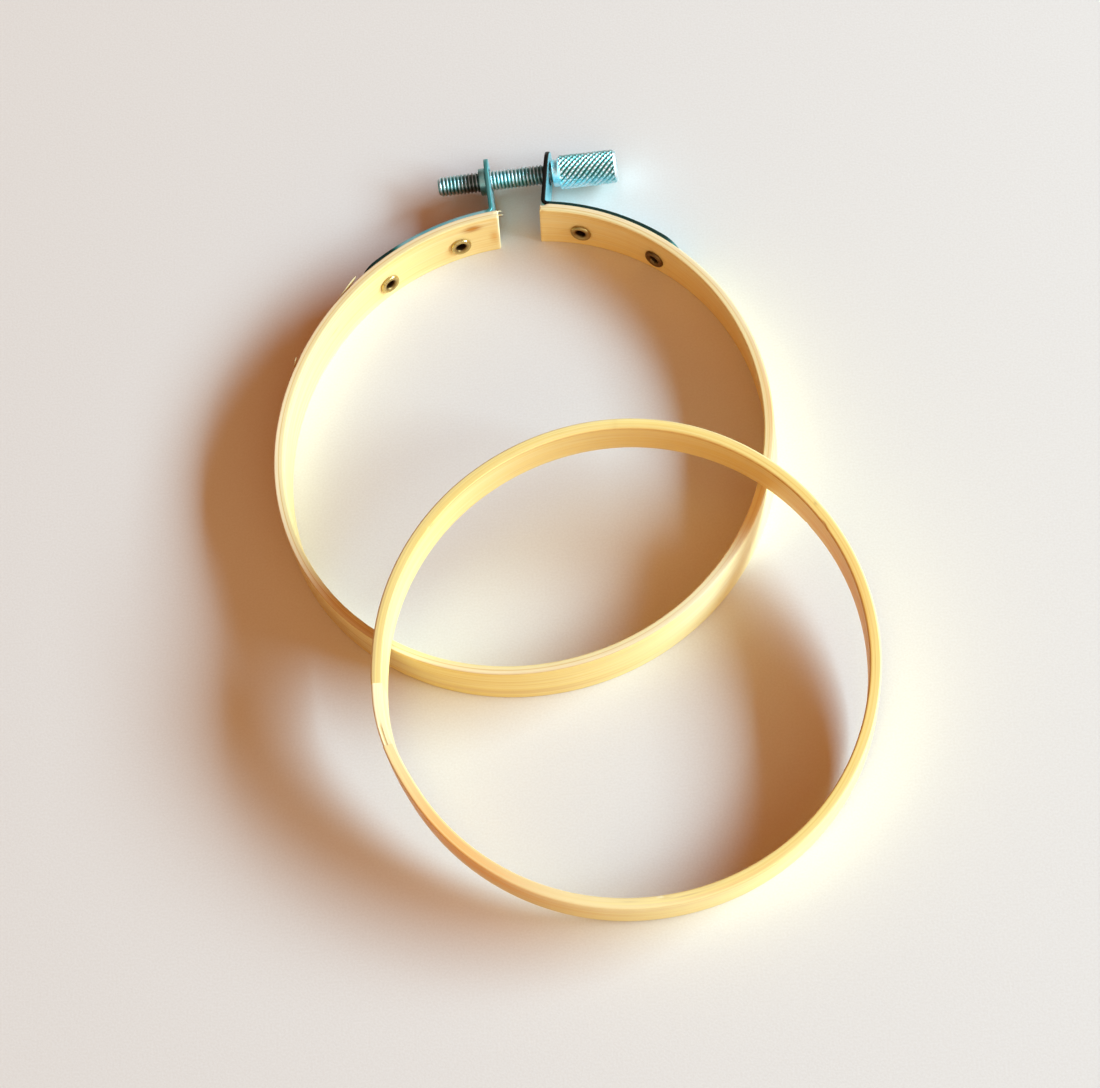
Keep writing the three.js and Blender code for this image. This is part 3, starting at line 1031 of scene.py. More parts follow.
@dataclass
class Finishes:
    """The finishes that the pieces share.

    Attributes:
        bamboo: For the outer ring, with the skin on its outside.
        inner_bamboo: For the inner ring, planed on both faces.
        zinc: For the screw and the nut.
        bracket_zinc: For the brackets, where the blue film is thicker.
        brass: For the eyelets.
        paper: For the table.
    """

    bamboo: bpy.types.Material = field(default_factory=lambda: PlanedBamboo().build())
    inner_bamboo: bpy.types.Material = field(
        default_factory=lambda: PlanedBamboo(
            name="bamboo_planed_both_faces",
            thickness=2.3,
            layers=INNER_LAYERS,
            # the inner edge's line: the wood's golden line, darkened with painted shade on the ring's shaded
            # right side
            edge_colour="#B8601A",
            edge_strength=0.85,
        ).build()
    )
    zinc: bpy.types.Material = field(default_factory=lambda: BrightZinc().build())
    bracket_zinc: bpy.types.Material = field(
        default_factory=lambda: BrightZinc(
            name="zinc_plated_sheet_blue",
            tints=((0.3, "#8CD4DC"), (0.5, "#B2E2E8"), (0.7, "#86CED8")),
            patch=7.0,
            gloss=(0.4, 0.55),
        ).build()
    )
    brass: bpy.types.Material = field(default_factory=lambda: DullBrass().build())
    paper: bpy.types.Material = field(default_factory=lambda: MattePaper().build())


def mark_values(places: np.ndarray, edges: np.ndarray, marks: Sequence[Mark]) -> dict[str, np.ndarray]:
    """The values that the bamboo finish reads.

    Args:
        places: Along, outset and height of each point.
        edges: Tone of the line along the rim's inner edge for each point.
        marks: Knots, stains, torn spots, and broad marks of painted light and shade.

    Returns:
        Named values for make_piece.
    """
    values = {PLACE_ATTRIBUTE: places, EDGE_ATTRIBUTE: edges}
    for key, kind in ((BROWN_ATTRIBUTE, "brown"), (PALE_ATTRIBUTE, "pale"), (AMBER_ATTRIBUTE, "amber")):
        values[key] = strongest_mark(places, marks, kind)
    return values


@dataclass
class OuterStrip:
    """The outer ring: one strip of bamboo, bent round and left open at the gap.

    Attributes:
        path: Its plan curve.
        section: Its cross-section.
        step: Distance between cross-sections.
        end_step: The same near the two ends.
        fine_reach: How far from the gap the finer steps go.
        hole_radius: Radius of the rivets' holes.
        rivet_alongs: Places of the rivets from the middle of the gap, on either side.
        rivet_height: Height of the rivets.
        waviness: How far the planed rim wanders down.
        wander: The line along which it wanders.
        rim_from: Share of half the height from which a dent also pulls the height in.
        slope_middle: Where the rim is planed to a slope down to the inside.
        slope_reach: How far on either side the slope takes to fade.
        slope_drop: How much lower the inner edge of the rim is there.
        end_round: How far the sanding has rounded the two cut ends.
        end_shares: Places of the cross-sections in that rounding, as shares of it.
        sanded_off: How much the sanding has taken off each face.
        flex_reach: Not used. Half of the stretch over which the bending at the far side would be spread.
    """

    path: StripPath
    section: Section = Section(2.1, STRIP_HEIGHT, 0.32, 34, 7)
    step: float = 0.6
    end_step: float = 0.3
    fine_reach: float = 40.0
    hole_radius: float = 1.3
    rivet_alongs: tuple[float, float] = (14.0, 32.6)
    rivet_height: float = 4.5
    waviness: float = 0.07
    wander: SlowWander = SlowWander(11, 47.0)
    rim_from: float = 0.9
    slope_middle: float = -85.0
    slope_reach: float = 55.0
    slope_drop: float = 0.2
    end_round: float = 0.4
    end_shares: tuple[float, ...] = (0, 0.15, 0.4, 0.7)
    sanded_off: float = 0.01
    flex_reach: float = 4.5
    marks: tuple[Mark, ...] = (
        Mark(-10.6, -2.1, 9.0, 1.8, 0.75, brown=1.4, amber=0.5),
        Mark(-9.0, -2.1, 9.4, 2.0, 0.5, brown=0.26),
        Mark(-7.4, -2.1, 9.9, 2.2, 0.35, pale=0.4),
        Mark(-6.0, -2.1, 4.7, 0.9, 1.5, brown=0.26, amber=0.45),
        Mark(-30.0, -2.1, 5.0, 22.0, 7.0, amber=0.06),
        # painted light: a paler outer wall on the lower right
        Mark(120.0, 0.3, 6.5, 24.0, 6.0, pale=0.8),
        # painted shade: a browner outer wall on the lower left, which faces away from the light
        Mark(-127.0, 0.3, 3.5, 15.0, 5.0, brown=0.4),
        # painted highlight on the left cut end, which faces the light
        Mark(-4.6, -1.0, 5.5, 0.45, 40.0, pale=0.8),
        Mark(-50.3, -2.1, 6.5, 1.2, 0.25, brown=0.4),
        Mark(24.4, -2.1, 9.0, 1.6, 0.25, pale=0.5),
        Mark(-42.5, 0.0, 10.2, 3.6, 0.6, depth=0.25, brown=0.55),
        Mark(-62.5, 0.0, 10.4, 1.3, 0.5, depth=0.2, brown=0.4),
        Mark(-5.0, -0.9, 10.8, 0.7, 0.5, depth=0.12, pale=0.8),
        Mark(5.0, 0.0, 11.0, 0.9, 0.7, depth=0.45),
        Mark(5.0, -2.1, 11.0, 0.5, 0.4, depth=0.2),
        # painted shade: amber on the shaded inner wall on the right
        Mark(76.0, -2.6, 4.0, 42.0, 5.5, amber=0.3),
        Mark(84.0, 0.1, 10.8, 16.0, 1.8, amber=0.4),
    )

    def along_places(self) -> np.ndarray:
        """Places of the cross-sections, clockwise from the right end to the left end."""
        start = self.path.gap / 2
        end = self.path.length - self.path.gap / 2
        rounded = self.end_round * np.array(self.end_shares)
        near = np.concatenate([rounded, np.arange(self.end_round, self.fine_reach, self.end_step)])
        count = int((end - start - 2 * self.fine_reach) / self.step)
        middle = np.linspace(start + self.fine_reach, end - self.fine_reach, count)
        return np.concatenate([start + near, middle, (end - near)[::-1]])

    def signed(self, along: np.ndarray) -> np.ndarray:
        """Distances from the middle of the gap, negative on the left."""
        return np.where(along > self.path.length / 2, along - self.path.length, along)

    def worn(self, along: np.ndarray, outset: np.ndarray, height: np.ndarray) -> np.ndarray:
        """Points of the strip with its planed unevenness and its dents.

        Args:
            along: Distances along the strip, all positive.
            outset: Distances out from the outer face.
            height: Heights over the table.

        Returns:
            Points in the shared frame.
        """
        signed = self.signed(along)
        places = np.column_stack([signed, outset, height])
        middle = np.array([-self.section.thickness / 2, STRIP_HEIGHT / 2])
        dent = np.maximum(strongest_mark(places, self.marks, "depth"), self.sanded_off)
        sink = self.waviness * (0.5 + 0.5 * self.wander.at(along))
        slope = self.slope_drop * smooth_fall(signed - self.slope_middle, self.slope_reach)
        sink = np.clip(sink, 0, 1) - slope * outset / self.section.thickness
        sink = np.where(self.section.on_top(height), sink, 0)
        inward = np.clip((outset - middle[0]) / -middle[0], -1, 1)
        lift = np.clip((height - middle[1]) / middle[1], -1, 1)
        at_rim = np.abs(lift) > self.rim_from
        slanted = self.path.slanted(signed, height)
        to_end = np.clip(1 - (np.abs(signed) - self.path.gap / 2) / self.end_round, 0, 1)
        dent = np.maximum(dent, self.end_round * (1 - np.sqrt(1 - to_end * to_end)))
        new_outset = outset - inward * dent
        new_height = height - sink - np.where(at_rim, RIM_DENT * dent * np.sign(lift), 0)
        return self.path.place(slanted, new_outset, new_height)

    def build(self, finishes: Finishes) -> bpy.types.Object:
        """Builds the strip and punches the rivets' holes.

        Args:
            finishes: The shared finishes.

        Returns:
            The strip.
        """
        sheet = SheetMesh(self.along_places(), self.section, self.worn)
        for along in self.rivet_alongs:
            sheet.punch(along, self.rivet_height, self.hole_radius)
            sheet.punch(self.path.length - along, self.rivet_height, self.hole_radius)
        places = sheet.places.copy()
        places[:, 0] = self.signed(places[:, 0])
        values = mark_values(places, sheet.edges, self.marks)
        values[PLACE_ATTRIBUTE] = sheet.places
        piece = make_piece("outer_strip", sheet.points, sheet.all_faces(), finishes.bamboo, values)
        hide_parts("outer_ring_left", "outer_ring_right")
        split = self.path.place(self.path.length / 2, -self.section.thickness / 2, STRIP_HEIGHT / 2)
        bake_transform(piece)
        return piece


@dataclass
class Splinter:
    """A thin sliver of bamboo that has lifted from the strip.

    Attributes:
        name: Name of the piece.
        spine: Along, outset and height of the points that it follows.
        widths: Full width at each point.
        thickness: Thickness in the middle.
        steps: Steps along it.
    """

    name: str
    spine: tuple[tuple[float, float, float], ...]
    widths: tuple[float, ...]
    thickness: float = 0.22
    steps: int = 24

    def build(self, path: StripPath, finishes: Finishes) -> bpy.types.Object:
        """Builds the sliver and fixes it to the left half.

        Args:
            path: The strip's plan curve.
            finishes: The shared finishes.

        Returns:
            The sliver.
        """
        knots = np.linspace(0, 1, len(self.spine))
        share = np.linspace(0, 1, self.steps + 1)
        line = np.column_stack([np.interp(share, knots, column) for column in np.array(self.spine).T])
        width = np.interp(share, knots, self.widths) / 2
        sides = 8
        rings = []
        for turn in range(sides):
            angle = 2 * math.pi * turn / sides
            place = line.copy()
            place[:, 1] += self.thickness / 2 * math.cos(angle) * np.minimum(1, width / self.thickness)
            place[:, 2] += width * math.sin(angle)
            rings.append(place)
        places = np.stack(rings, 1).reshape(-1, 3)
        points = path.place(places[:, 0], places[:, 1], places[:, 2])
        faces = ring_faces(self.steps + 1, sides, capped=True)
        pale = np.full(len(points), 0.35)
        values = {PLACE_ATTRIBUTE: places, PALE_ATTRIBUTE: pale}
        piece = make_piece(self.name, points, faces, finishes.bamboo, values)
        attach(piece, "outer_hoop")
        return piece


def ring_faces(rows: int, columns: int, capped: bool = False, start: int = 0) -> list[tuple[int, ...]]:
    """Faces of a tube of stacked rings.

    Args:
        rows: Number of rings.
        columns: Points in a ring.
        capped: Whether both ends are closed with a face.
        start: Index of the first point.

    Returns:
        The faces.
    """
    faces = []
    for row in range(rows - 1):
        for column in range(columns):
            beside = (column + 1) % columns
            low = start + row * columns
            faces.append((low + column, low + beside, low + columns + beside, low + columns + column))
    if capped:
        faces.append(tuple(start + k for k in range(columns - 1, -1, -1)))
        faces.append(tuple(start + (rows - 1) * columns + k for k in range(columns)))
    return faces


@dataclass
class InnerRing:
    """The closed inner ring, leaning on the outer rim, with its glued scarf joint.

    Attributes:
        radius: Radius of its outer face.
        section: Its cross-section.
        tilt: How far it is tipped up at the back, in degrees about X.
        roll: How far it is tipped to the side, in degrees about Y.
        middle: Middle of its lower face from the outer ring's centre.
        scarf_start: Angle at which the lap ends on the inside, in degrees clockwise from the back.
        scarf_end: Angle at which the lap ends on the outside.
        seam_share: How much of the lap's length the open crack takes.
        seam_outset: How far in from the outer face the crack runs.
        seam_width: Half of its width.
        seam_depth: Its depth.
        seam_brown: How brown the glue in it is.
        lap_step: How much the sanding has taken off the lap.
        lap_width: Share of the rim that is sanded pale there, from the outside in.
        lap_pale: How pale that is.
        pale_past_lap: How much of the pale marks is left beyond the lap's inner end.
        waviness: How far the planed rim wanders down.
        wander: The line along which it wanders.
        slope_middle: Where the rim is sanded to a slope down to the inside.
        slope_reach: How many degrees on either side the slope takes to fade.
        slope_drop: How much lower the inner edge of the rim is there.
        sanded_off: How much the sanding has taken off.
        skin_depth: Thickness of the tan skin left on the outside beyond the lap.
        skin_reach: How many degrees it takes to fade out.
        skin_brown: How brown it is.
        skin_line: How brown the line between skin and inside is.
        skin_line_width: How far from its middle that line fades.
        edge_shade_middle: Where the inner edge's line is darkest, on the right, where the edge faces away
            from the light; painted shade.
        edge_shade_reach: How many degrees on either side that painted shade takes to fade.
        edge_shade_least: How much of the line is left on the far side, where it is the wood's own golden
            line.
        grain_start: Where on the cane's length its strip starts, so that its grain is its own.
        bows: Where the ring is out of round: angle, distance outwards, and reach in degrees.
        step: Distance between cross-sections in degrees.
        close_offsets: Distances of further cross-sections from the ends of the lap.
        least_step: An even cross-section closer than this to one of those is left out.
        marks: Knots, stains, torn spots, and broad marks of painted light and shade, with degrees for their
            place along.
    """

    radius: float = 50.2
    section: Section = Section(2.3, 11.0, 0.38, 30, 9)
    tilt: float = 8.145
    roll: float = 3.154
    middle: tuple[float, float, float] = (19.8, -55.2, 7.544)
    scarf_start: float = 267.0
    scarf_end: float = 252.0
    seam_share: float = 0.34
    seam_outset: float = 0.7
    seam_width: float = 0.22
    seam_depth: float = 0.1
    seam_brown: float = 0.3
    lap_step: float = 0.1
    lap_width: float = 0.85
    lap_pale: float = 0.9
    pale_past_lap: float = 0.35
    waviness: float = 0.05
    wander: SlowWander = SlowWander(5, 41.0)
    slope_middle: float = 243.0
    slope_reach: float = 48.0
    slope_drop: float = 0.3
    sanded_off: float = 0.025
    skin_depth: float = 0.72
    skin_reach: float = 110.0
    skin_brown: float = 0.3
    skin_line: float = 0.5
    skin_line_width: float = 0.24
    edge_shade_middle: float = 78.0
    edge_shade_reach: float = 80.0
    edge_shade_least: float = 0.35
    grain_start: float = 700.0
    bows: tuple[tuple[float, float, float], ...] = (
        (10.0, 0.3, 45.0),
        (80.0, -0.32, 50.0),
        (138.0, 0.25, 42.0),
        (257.0, 0.5, 18.0),
    )
    step: float = 0.7
    close_offsets: tuple[float, ...] = (0.02, 0.2, 0.45, 0.9)
    least_step: float = 0.25
    marks: tuple[Mark, ...] = (
        Mark(308.1, -2.2, 10.9, 0.5, 0.3, depth=0.2, brown=0.5),
        Mark(52.6, -0.9, 11.0, 0.5, 0.25, brown=0.5),
        Mark(57.6, -2.3, 10.8, 0.8, 0.4, depth=0.25, pale=0.5),
        Mark(51.9, -2.3, 0.2, 0.5, 0.4, depth=0.2, brown=0.3),
        Mark(174.6, -1.95, 11.0, 0.6, 0.3, pale=1.0),
        Mark(173.4, -1.6, 11.0, 1.3, 0.12, brown=0.5),
        Mark(176.5, -2.2, 10.9, 1.6, 0.18, pale=0.7),
        Mark(168.5, -1.3, 11.0, 3.2, 0.12, brown=0.45),
        Mark(163.0, -1.7, 11.0, 2.6, 0.12, brown=0.4),
        Mark(181.5, -1.5, 11.0, 2.2, 0.14, brown=0.45),
        Mark(222.0, -1.2, 12.0, 48.0, 3.0, pale=0.85),
        # painted shade: amber on the shaded inner wall on the right
        Mark(80.0, -2.8, 4.5, 38.0, 6.0, amber=0.65),
        # painted shade: amber and brown on the outer wall on the lower left, which faces away from the light
        Mark(225.0, 0.3, 7.5, 26.0, 7.0, amber=0.9, brown=0.42),
        # painted light: a paler inner wall on the lit left side
        Mark(284.0, -2.8, 4.5, 46.0, 6.0, pale=0.38),
        Mark(120.0, 0.1, 11.0, 28.0, 1.1, amber=0.25),
        Mark(152.0, 0.1, 11.0, 16.0, 1.1, amber=0.45),
    )

    def placement(self) -> np.ndarray:
        """The ring's 4 by 4 placement in the shared frame, in millimetres."""
        rolled = Matrix.Rotation(math.radians(self.roll), 4, "Y")
        placed = np.array(rolled @ Matrix.Rotation(math.radians(self.tilt), 4, "X"))
        placed[:3, 3] = np.array(self.middle) + HOOP_CENTRE
        return placed

    def lap_share(self, angle: np.ndarray) -> np.ndarray:
        """0 at the scarf's outer end, 1 at its inner end, and outside that range beyond them."""
        return (angle - self.scarf_end) / (self.scarf_start - self.scarf_end)

    def lapped(self, angle: np.ndarray, outset: np.ndarray, height: np.ndarray) -> np.ndarray:
        """Points of the ring with the lap's small steps, its seam and its dents.

        Args:
            angle: Degrees clockwise from the back.
            outset: Distances out from the outer face.
            height: Heights over the ring's lower face.

        Returns:
            Points in the shared frame.
        """
        places = np.column_stack([angle, outset, height])
        dent = strongest_mark(places, self.marks, "depth")
        share = self.lap_share(angle)
        in_lap = (share > 0) & (share < 1)
        outer = outset > -self.section.thickness / 2
        along = np.radians(angle) * self.radius
        wander = self.waviness * (0.5 + 0.5 * self.wander.at(along))
        low = self.sanded_off + np.clip(wander, 0, 1) + np.where(in_lap, self.lap_step, 0.0)
        top = self.section.on_top(height)
        groove = np.where(self.in_seam(angle, outset, height), self.seam_depth, 0.0)
        step_in = np.where(in_lap & outer, self.lap_step, 0.0) + np.where(outer, dent, 0)
        slope = self.slope_drop * smooth_fall(angle - self.slope_middle, self.slope_reach)
        low = low - slope * outset / self.section.thickness
        bottom = height < self.section.corner + RIM_MARGIN
        new_height = height - np.where(top, low + groove + RIM_DENT * dent, 0)
        new_height += np.where(bottom, 2 * self.sanded_off, 0)
        radius = self.radius - self.sanded_off + outset - step_in + np.where(~outer, dent, 0)
        for middle, bow, reach in self.bows:
            radius = radius + bow * smooth_fall(round_distance(angle, middle, 360), reach)
        turn = np.radians(angle)
        flat = np.stack([radius * np.sin(turn), radius * np.cos(turn), new_height], -1)
        return moved(flat, self.placement())

    def in_seam(self, angle: np.ndarray, outset: np.ndarray, height: np.ndarray) -> np.ndarray:
        """Which points lie in the open crack of the lap.

        Args:
            angle: Degrees clockwise from the back.
            outset: Distances out from the outer face.
            height: Heights over the ring's lower face.

        Returns:
            True for each point in the crack.
        """
        share = self.lap_share(angle)
        across = np.abs(outset + self.seam_outset) < self.seam_width
        return (share > 0) & (share < self.seam_share) & self.section.on_top(height) & across

    def angles(self) -> np.ndarray:
        """Angles of the cross-sections, closer together at the ends of the lap."""
        even = np.arange(0, 360, self.step)
        close = []
        for edge in (self.scarf_start, self.scarf_end):
            close += [edge + side * offset for offset in self.close_offsets for side in (-1, 1)]
        ends = np.array(close)
        keep = np.min(np.abs(even[:, None] - ends[None, :]), axis=1) > self.least_step
        return np.sort(np.concatenate([even[keep], ends]))

    def build(self, finishes: Finishes) -> bpy.types.Object:
        """Builds the ring.

        Args:
            finishes: The shared finishes.

        Returns:
            The ring.
        """
        sheet = SheetMesh(self.angles(), self.section, self.lapped, closed=True)
        # painted shade: the inner edge's line is strongest on the right, where that edge faces away from the
        # light
        near_edge_shade = smooth_fall(sheet.places[:, 0] - self.edge_shade_middle, self.edge_shade_reach)
        shade_weight = self.edge_shade_least + (1 - self.edge_shade_least) * near_edge_shade
        values = mark_values(sheet.places, sheet.edges * shade_weight, self.marks)
        share = self.lap_share(sheet.places[:, 0])
        in_lap = (share > 0) & (share < 1)
        outset = sheet.places[:, 1]
        top = self.section.on_top(sheet.places[:, 2])
        seam = self.in_seam(*sheet.places.T)
        sanded = in_lap & (outset > -self.lap_width * self.section.thickness) & top
        pale = np.maximum(values[PALE_ATTRIBUTE], np.where(sanded & ~seam, self.lap_pale, 0.0))
        values[PALE_ATTRIBUTE] = np.where(share > 1, self.pale_past_lap * pale, pale)
        past_lap = smooth_fall(sheet.places[:, 0] - self.scarf_start, self.skin_reach)
        skin = np.where((share > 1) & top, past_lap, 0)
        band = np.where(outset > -self.skin_depth, self.skin_brown, 0.0)
        line = self.skin_line * smooth_fall(outset + self.skin_depth, self.skin_line_width)
        brown = np.maximum(skin * np.maximum(band, line), np.where(seam, self.seam_brown, 0.0))
        values[BROWN_ATTRIBUTE] = np.maximum(values[BROWN_ATTRIBUTE], brown)
        # the grain starts at the lap, where the two ends of the strip meet
        along = np.radians(np.mod(sheet.places[:, 0] - self.scarf_end, 360)) * self.radius
        values[PLACE_ATTRIBUTE] = np.column_stack([along + self.grain_start, sheet.places[:, 1:]])
        faces = sheet.all_faces()
        piece = make_piece("inner_ring_bamboo", sheet.points, faces, finishes.inner_bamboo, values)
        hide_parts("inner_ring")
        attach(piece, "inner_hoop")
        return piece


@dataclass
class ScrewAxis:
    """Line of the thumb screw, across the gap and in front of the strip's ends.

    Attributes:
        path: The strip's plan curve.
        standoff: From the strip's outer face at the gap out to the axis.
        yaw: How far the head's end stands further out, in degrees.
    """

    path: StripPath
    standoff: float = 11.4
    yaw: float = 2.0

    def point(self, x: float) -> np.ndarray:
        """Point of the axis for an x about the ring's centre.

        Args:
            x: Distance to the right of the ring's centre.

        Returns:
            The point about the ring's centre.
        """
        face = self.path.curve(np.array(0.0))
        rise = face[1] + self.standoff + (x - face[0]) * math.tan(math.radians(self.yaw))
        return np.array([x, rise, STRIP_HEIGHT / 2])

    def placement(self, point: np.ndarray, turn: float) -> np.ndarray:
        """Placement with Y along the axis, from the tip to the head.

        Args:
            point: Point about the ring's centre.
            turn: Angle of the axis to X, in degrees.

        Returns:
            A 4 by 4 matrix in millimetres in the shared frame.
        """
        placed = np.array(Matrix.Rotation(math.radians(turn) - math.pi / 2, 4, "Z"))
        placed[:3, 3] = point + HOOP_CENTRE
        return placed


@dataclass
class StrapBracket:
    """A strap of zinc-plated sheet, riveted to the strip and bent out into the screw's lug.

    Attributes:
        side: Which end it is on.
        axis: The screw's axis.
        setback: From the strip's end to the middle of the lug's sheet.
        lean: How far the lug opens outwards, in degrees.
        hole_clearance: Room round the screw in the lug's hole.
        thickness: Of the sheet.
        width: Of the strap.
        reach: From the strip's end to the strap's rounded tip.
        seat: Clearance to the strip.
        bend_radius: Radius of the bend, at the middle of the sheet.
        thread_radius: Radius of the screw.
        edge_shade: Painted shade and dark reflection on the lug's sheared edge, from 0 for none to 1 for the
            darkest.
        strap_edge_shade: The same for the strap's edge.
        bright_edge: How far from the bend the strap's edge is still bright, 0 for nowhere.
        bright_gain: How much less dark it is there.
        bright_fade: Length over which it turns dark again.
    """

    side: Side
    axis: ScrewAxis
    setback: float
    lean: float
    hole_clearance: float
    thickness: float = 0.9
    width: float = 9.4
    reach: float = 33.3
    seat: float = 0.25
    bend_radius: float = 1.1
    thread_radius: float = 1.95
    edge_shade: float = 1.0
    strap_edge_shade: float = 0.96
    bright_edge: float = 0.0
    bright_gain: float = 0.9
    bright_fade: float = 3.0
    foot: np.ndarray = field(init=False)
    direction: np.ndarray = field(init=False)
    towards_gap: np.ndarray = field(init=False)
    outward: np.ndarray = field(init=False)
    lug_along: float = field(init=False)
    hole_distance: float = field(init=False)
    bend_setback: float = field(init=False)
    bend_angle: float = field(init=False)
    lug_length: float = field(init=False)

    def __post_init__(self) -> None:
        """Works out the lug's lines from the strip and the screw."""
        path = self.axis.path
        sign = self.side.value
        self.lug_along = sign * (path.gap / 2 + self.setback)
        point, forward, outward = path.directions(np.array(self.lug_along))
        sprung = float(path.sprung(np.array(self.lug_along), np.array(STRIP_HEIGHT / 2)))
        self.outward = outward
        self.foot = point + outward * (self.seat + self.thickness / 2 + sprung)
        lean = math.radians(self.lean) * sign
        self.direction = np.array([math.sin(lean), math.cos(lean)])
        self.towards_gap = -sign * forward
        self.bend_angle = math.acos(float(self.towards_gap @ self.direction))
        self.bend_setback = self.bend_radius * math.tan(self.bend_angle / 2)
        top = self.axis.point(self.foot[0] + self.direction[0] * self.axis.standoff)
        self.hole_distance = (top[1] - self.foot[1]) / self.direction[1]
        self.lug_length = self.hole_distance + self.width / 2

    def lug_centre(self) -> np.ndarray:
        """Where the screw's axis passes through the middle of the lug, about the ring's centre."""
        return self.axis.point(float(self.foot[0] + self.direction[0] * self.hole_distance))

    @property
    def straight(self) -> float:
        """Length of the lug's flat part, from its tip to the bend."""
        return self.lug_length - self.bend_setback

    @property
    def arc(self) -> float:
        """Length of the bend."""
        return self.bend_radius * self.bend_angle

    @property
    def strap_start(self) -> float:
        """Distance along the strip at which the strap leaves the bend."""
        return abs(self.lug_along) + self.bend_setback

    @property
    def total(self) -> float:
        """Length of the whole sheet, from the lug's tip to the strap's tip."""
        strap = self.axis.path.gap / 2 + self.reach - self.strap_start
        return self.straight + self.arc + strap

    def half_width(self, along: np.ndarray) -> np.ndarray:
        """Half of the sheet's width, which both ends round off.

        Args:
            along: Distances from the lug's tip along the sheet.

        Returns:
            Half widths.
        """
        half = self.width / 2
        nearest = np.minimum(along, self.total - along)
        inside = np.clip(half - nearest, 0, half)
        return np.sqrt(np.clip(half ** 2 - inside ** 2, 0.02 ** 2, None))

    def place(self, along: np.ndarray, outset: np.ndarray, height: np.ndarray) -> np.ndarray:
        """Points of the sheet.

        Args:
            along: Distances from the lug's tip.
            outset: Distances from the outer face, from 0 to minus the thickness.
            height: Distances up the full width, from 0 to the width.

        Returns:
            Points in the shared frame.
        """
        path = self.axis.path
        sign = self.side.value
        middle = STRIP_HEIGHT / 2
        rise = middle + (height - self.width / 2) * self.half_width(along) / (self.width / 2)
        depth = outset + self.thickness / 2
        strap_along = sign * (self.strap_start + along - self.straight - self.arc)
        strap = path.place(strap_along, self.seat + self.thickness / 2 + depth, rise)
        angle = np.clip(self.bend_angle - (along - self.straight) / self.bend_radius, 0, self.bend_angle)
        across = np.outer(np.cos(angle), self.towards_gap) + np.outer(np.sin(angle), self.outward)
        start = np.outer(self.bend_radius * np.sin(angle) - self.bend_setback, self.towards_gap)
        line = self.foot + start + np.outer(self.bend_radius * (1 - np.cos(angle)), self.outward)
        line += np.outer(np.clip(self.straight - along, 0, None), self.direction)
        through = np.stack([-across[:, 1], across[:, 0]], -1) * -sign
        lug_along = np.full(len(along), self.lug_along)
        sprung = path.sprung(lug_along, rise) - path.sprung(lug_along, np.array(middle))
        flat = line + through * depth[:, None] + sprung[:, None] * self.outward
        lug = np.column_stack([flat, rise]) + HOOP_CENTRE
        return np.where((along > self.straight + self.arc)[:, None], strap, lug)

    def along_places(self) -> np.ndarray:
        """Places of the cross-sections, close together at the round tips and in the bend."""
        half = self.width / 2
        turn = np.linspace(0.05, math.pi / 2, 16)
        tip = half * (1 - np.cos(turn))
        hole = np.arange(half, self.straight, 0.4)[1:]
        bend = np.linspace(self.straight, self.straight + self.arc, 9)
        strap = np.linspace(self.straight + self.arc, self.total - half, 48)[1:]
        far = self.total - tip[::-1][1:]
        return np.concatenate([tip, hole[hole < self.straight - 0.15], bend, strap, far])

    def build(self, finishes: Finishes) -> bpy.types.Object:
        """Builds the bracket with the lug's hole.

        Args:
            finishes: The shared finishes.

        Returns:
            The bracket.
        """
        section = Section(self.thickness, self.width, corner=0.2, wall_steps=22, rim_steps=3, corner_steps=3)
        sheet = SheetMesh(self.along_places(), section, self.place)
        hole_along = self.lug_length - self.hole_distance
        sheet.punch(hole_along, self.width / 2, self.thread_radius + self.hole_clearance)
        # the sheared edges get painted shade and dark reflection
        height = sheet.places[:, 2]
        tip = np.minimum(sheet.places[:, 0], self.total - sheet.places[:, 0])
        rim = np.abs(height - self.width / 2) > self.width / 2 - section.corner - RIM_MARGIN
        sheared = rim | (tip < 0.05)
        name = f"{self.side.word}_strap_bracket"
        on_strap = sheet.places[:, 0] > self.straight + self.arc
        strap_edge = np.full(len(height), self.strap_edge_shade)
        if self.bright_edge > 0:
            past_bright = sheet.places[:, 0] - self.straight - self.arc - self.bright_edge
            bright = smooth_fall(np.clip(past_bright, 0, None), self.bright_fade)
            strap_edge -= self.bright_gain * bright
        values = {SHADE_AND_TONE_ATTRIBUTE: np.where(sheared, np.where(on_strap, strap_edge, self.edge_shade), 0.0)}
        piece = make_piece(name, sheet.points, sheet.all_faces(), finishes.bracket_zinc, values)
        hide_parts(f"{self.side.word}_bracket")
        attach(piece, "outer_hoop" if self.side is Side.LEFT else "right_end")
        return piece


def lathe(outline: np.ndarray, steps: int) -> tuple[np.ndarray, list[tuple[int, ...]]]:
    """Turns an outline round the Y axis.

    Args:
        outline: Pairs of radius and place along Y.
        steps: Steps round.

    Returns:
        Points and faces.
    """
    angle = np.linspace(0, 2 * math.pi, steps, endpoint=False)
    radius = np.repeat(outline[:, 0], steps)
    along = np.repeat(outline[:, 1], steps)
    round_ = np.tile(angle, len(outline))
    points = np.column_stack([radius * np.sin(round_), along, radius * np.cos(round_)])
    return points, ring_faces(len(outline), steps)


def moved(points: np.ndarray, placement: np.ndarray) -> np.ndarray:
    """Points carried by a 4 by 4 placement."""
    return points @ placement[:3, :3].T + placement[:3, 3]


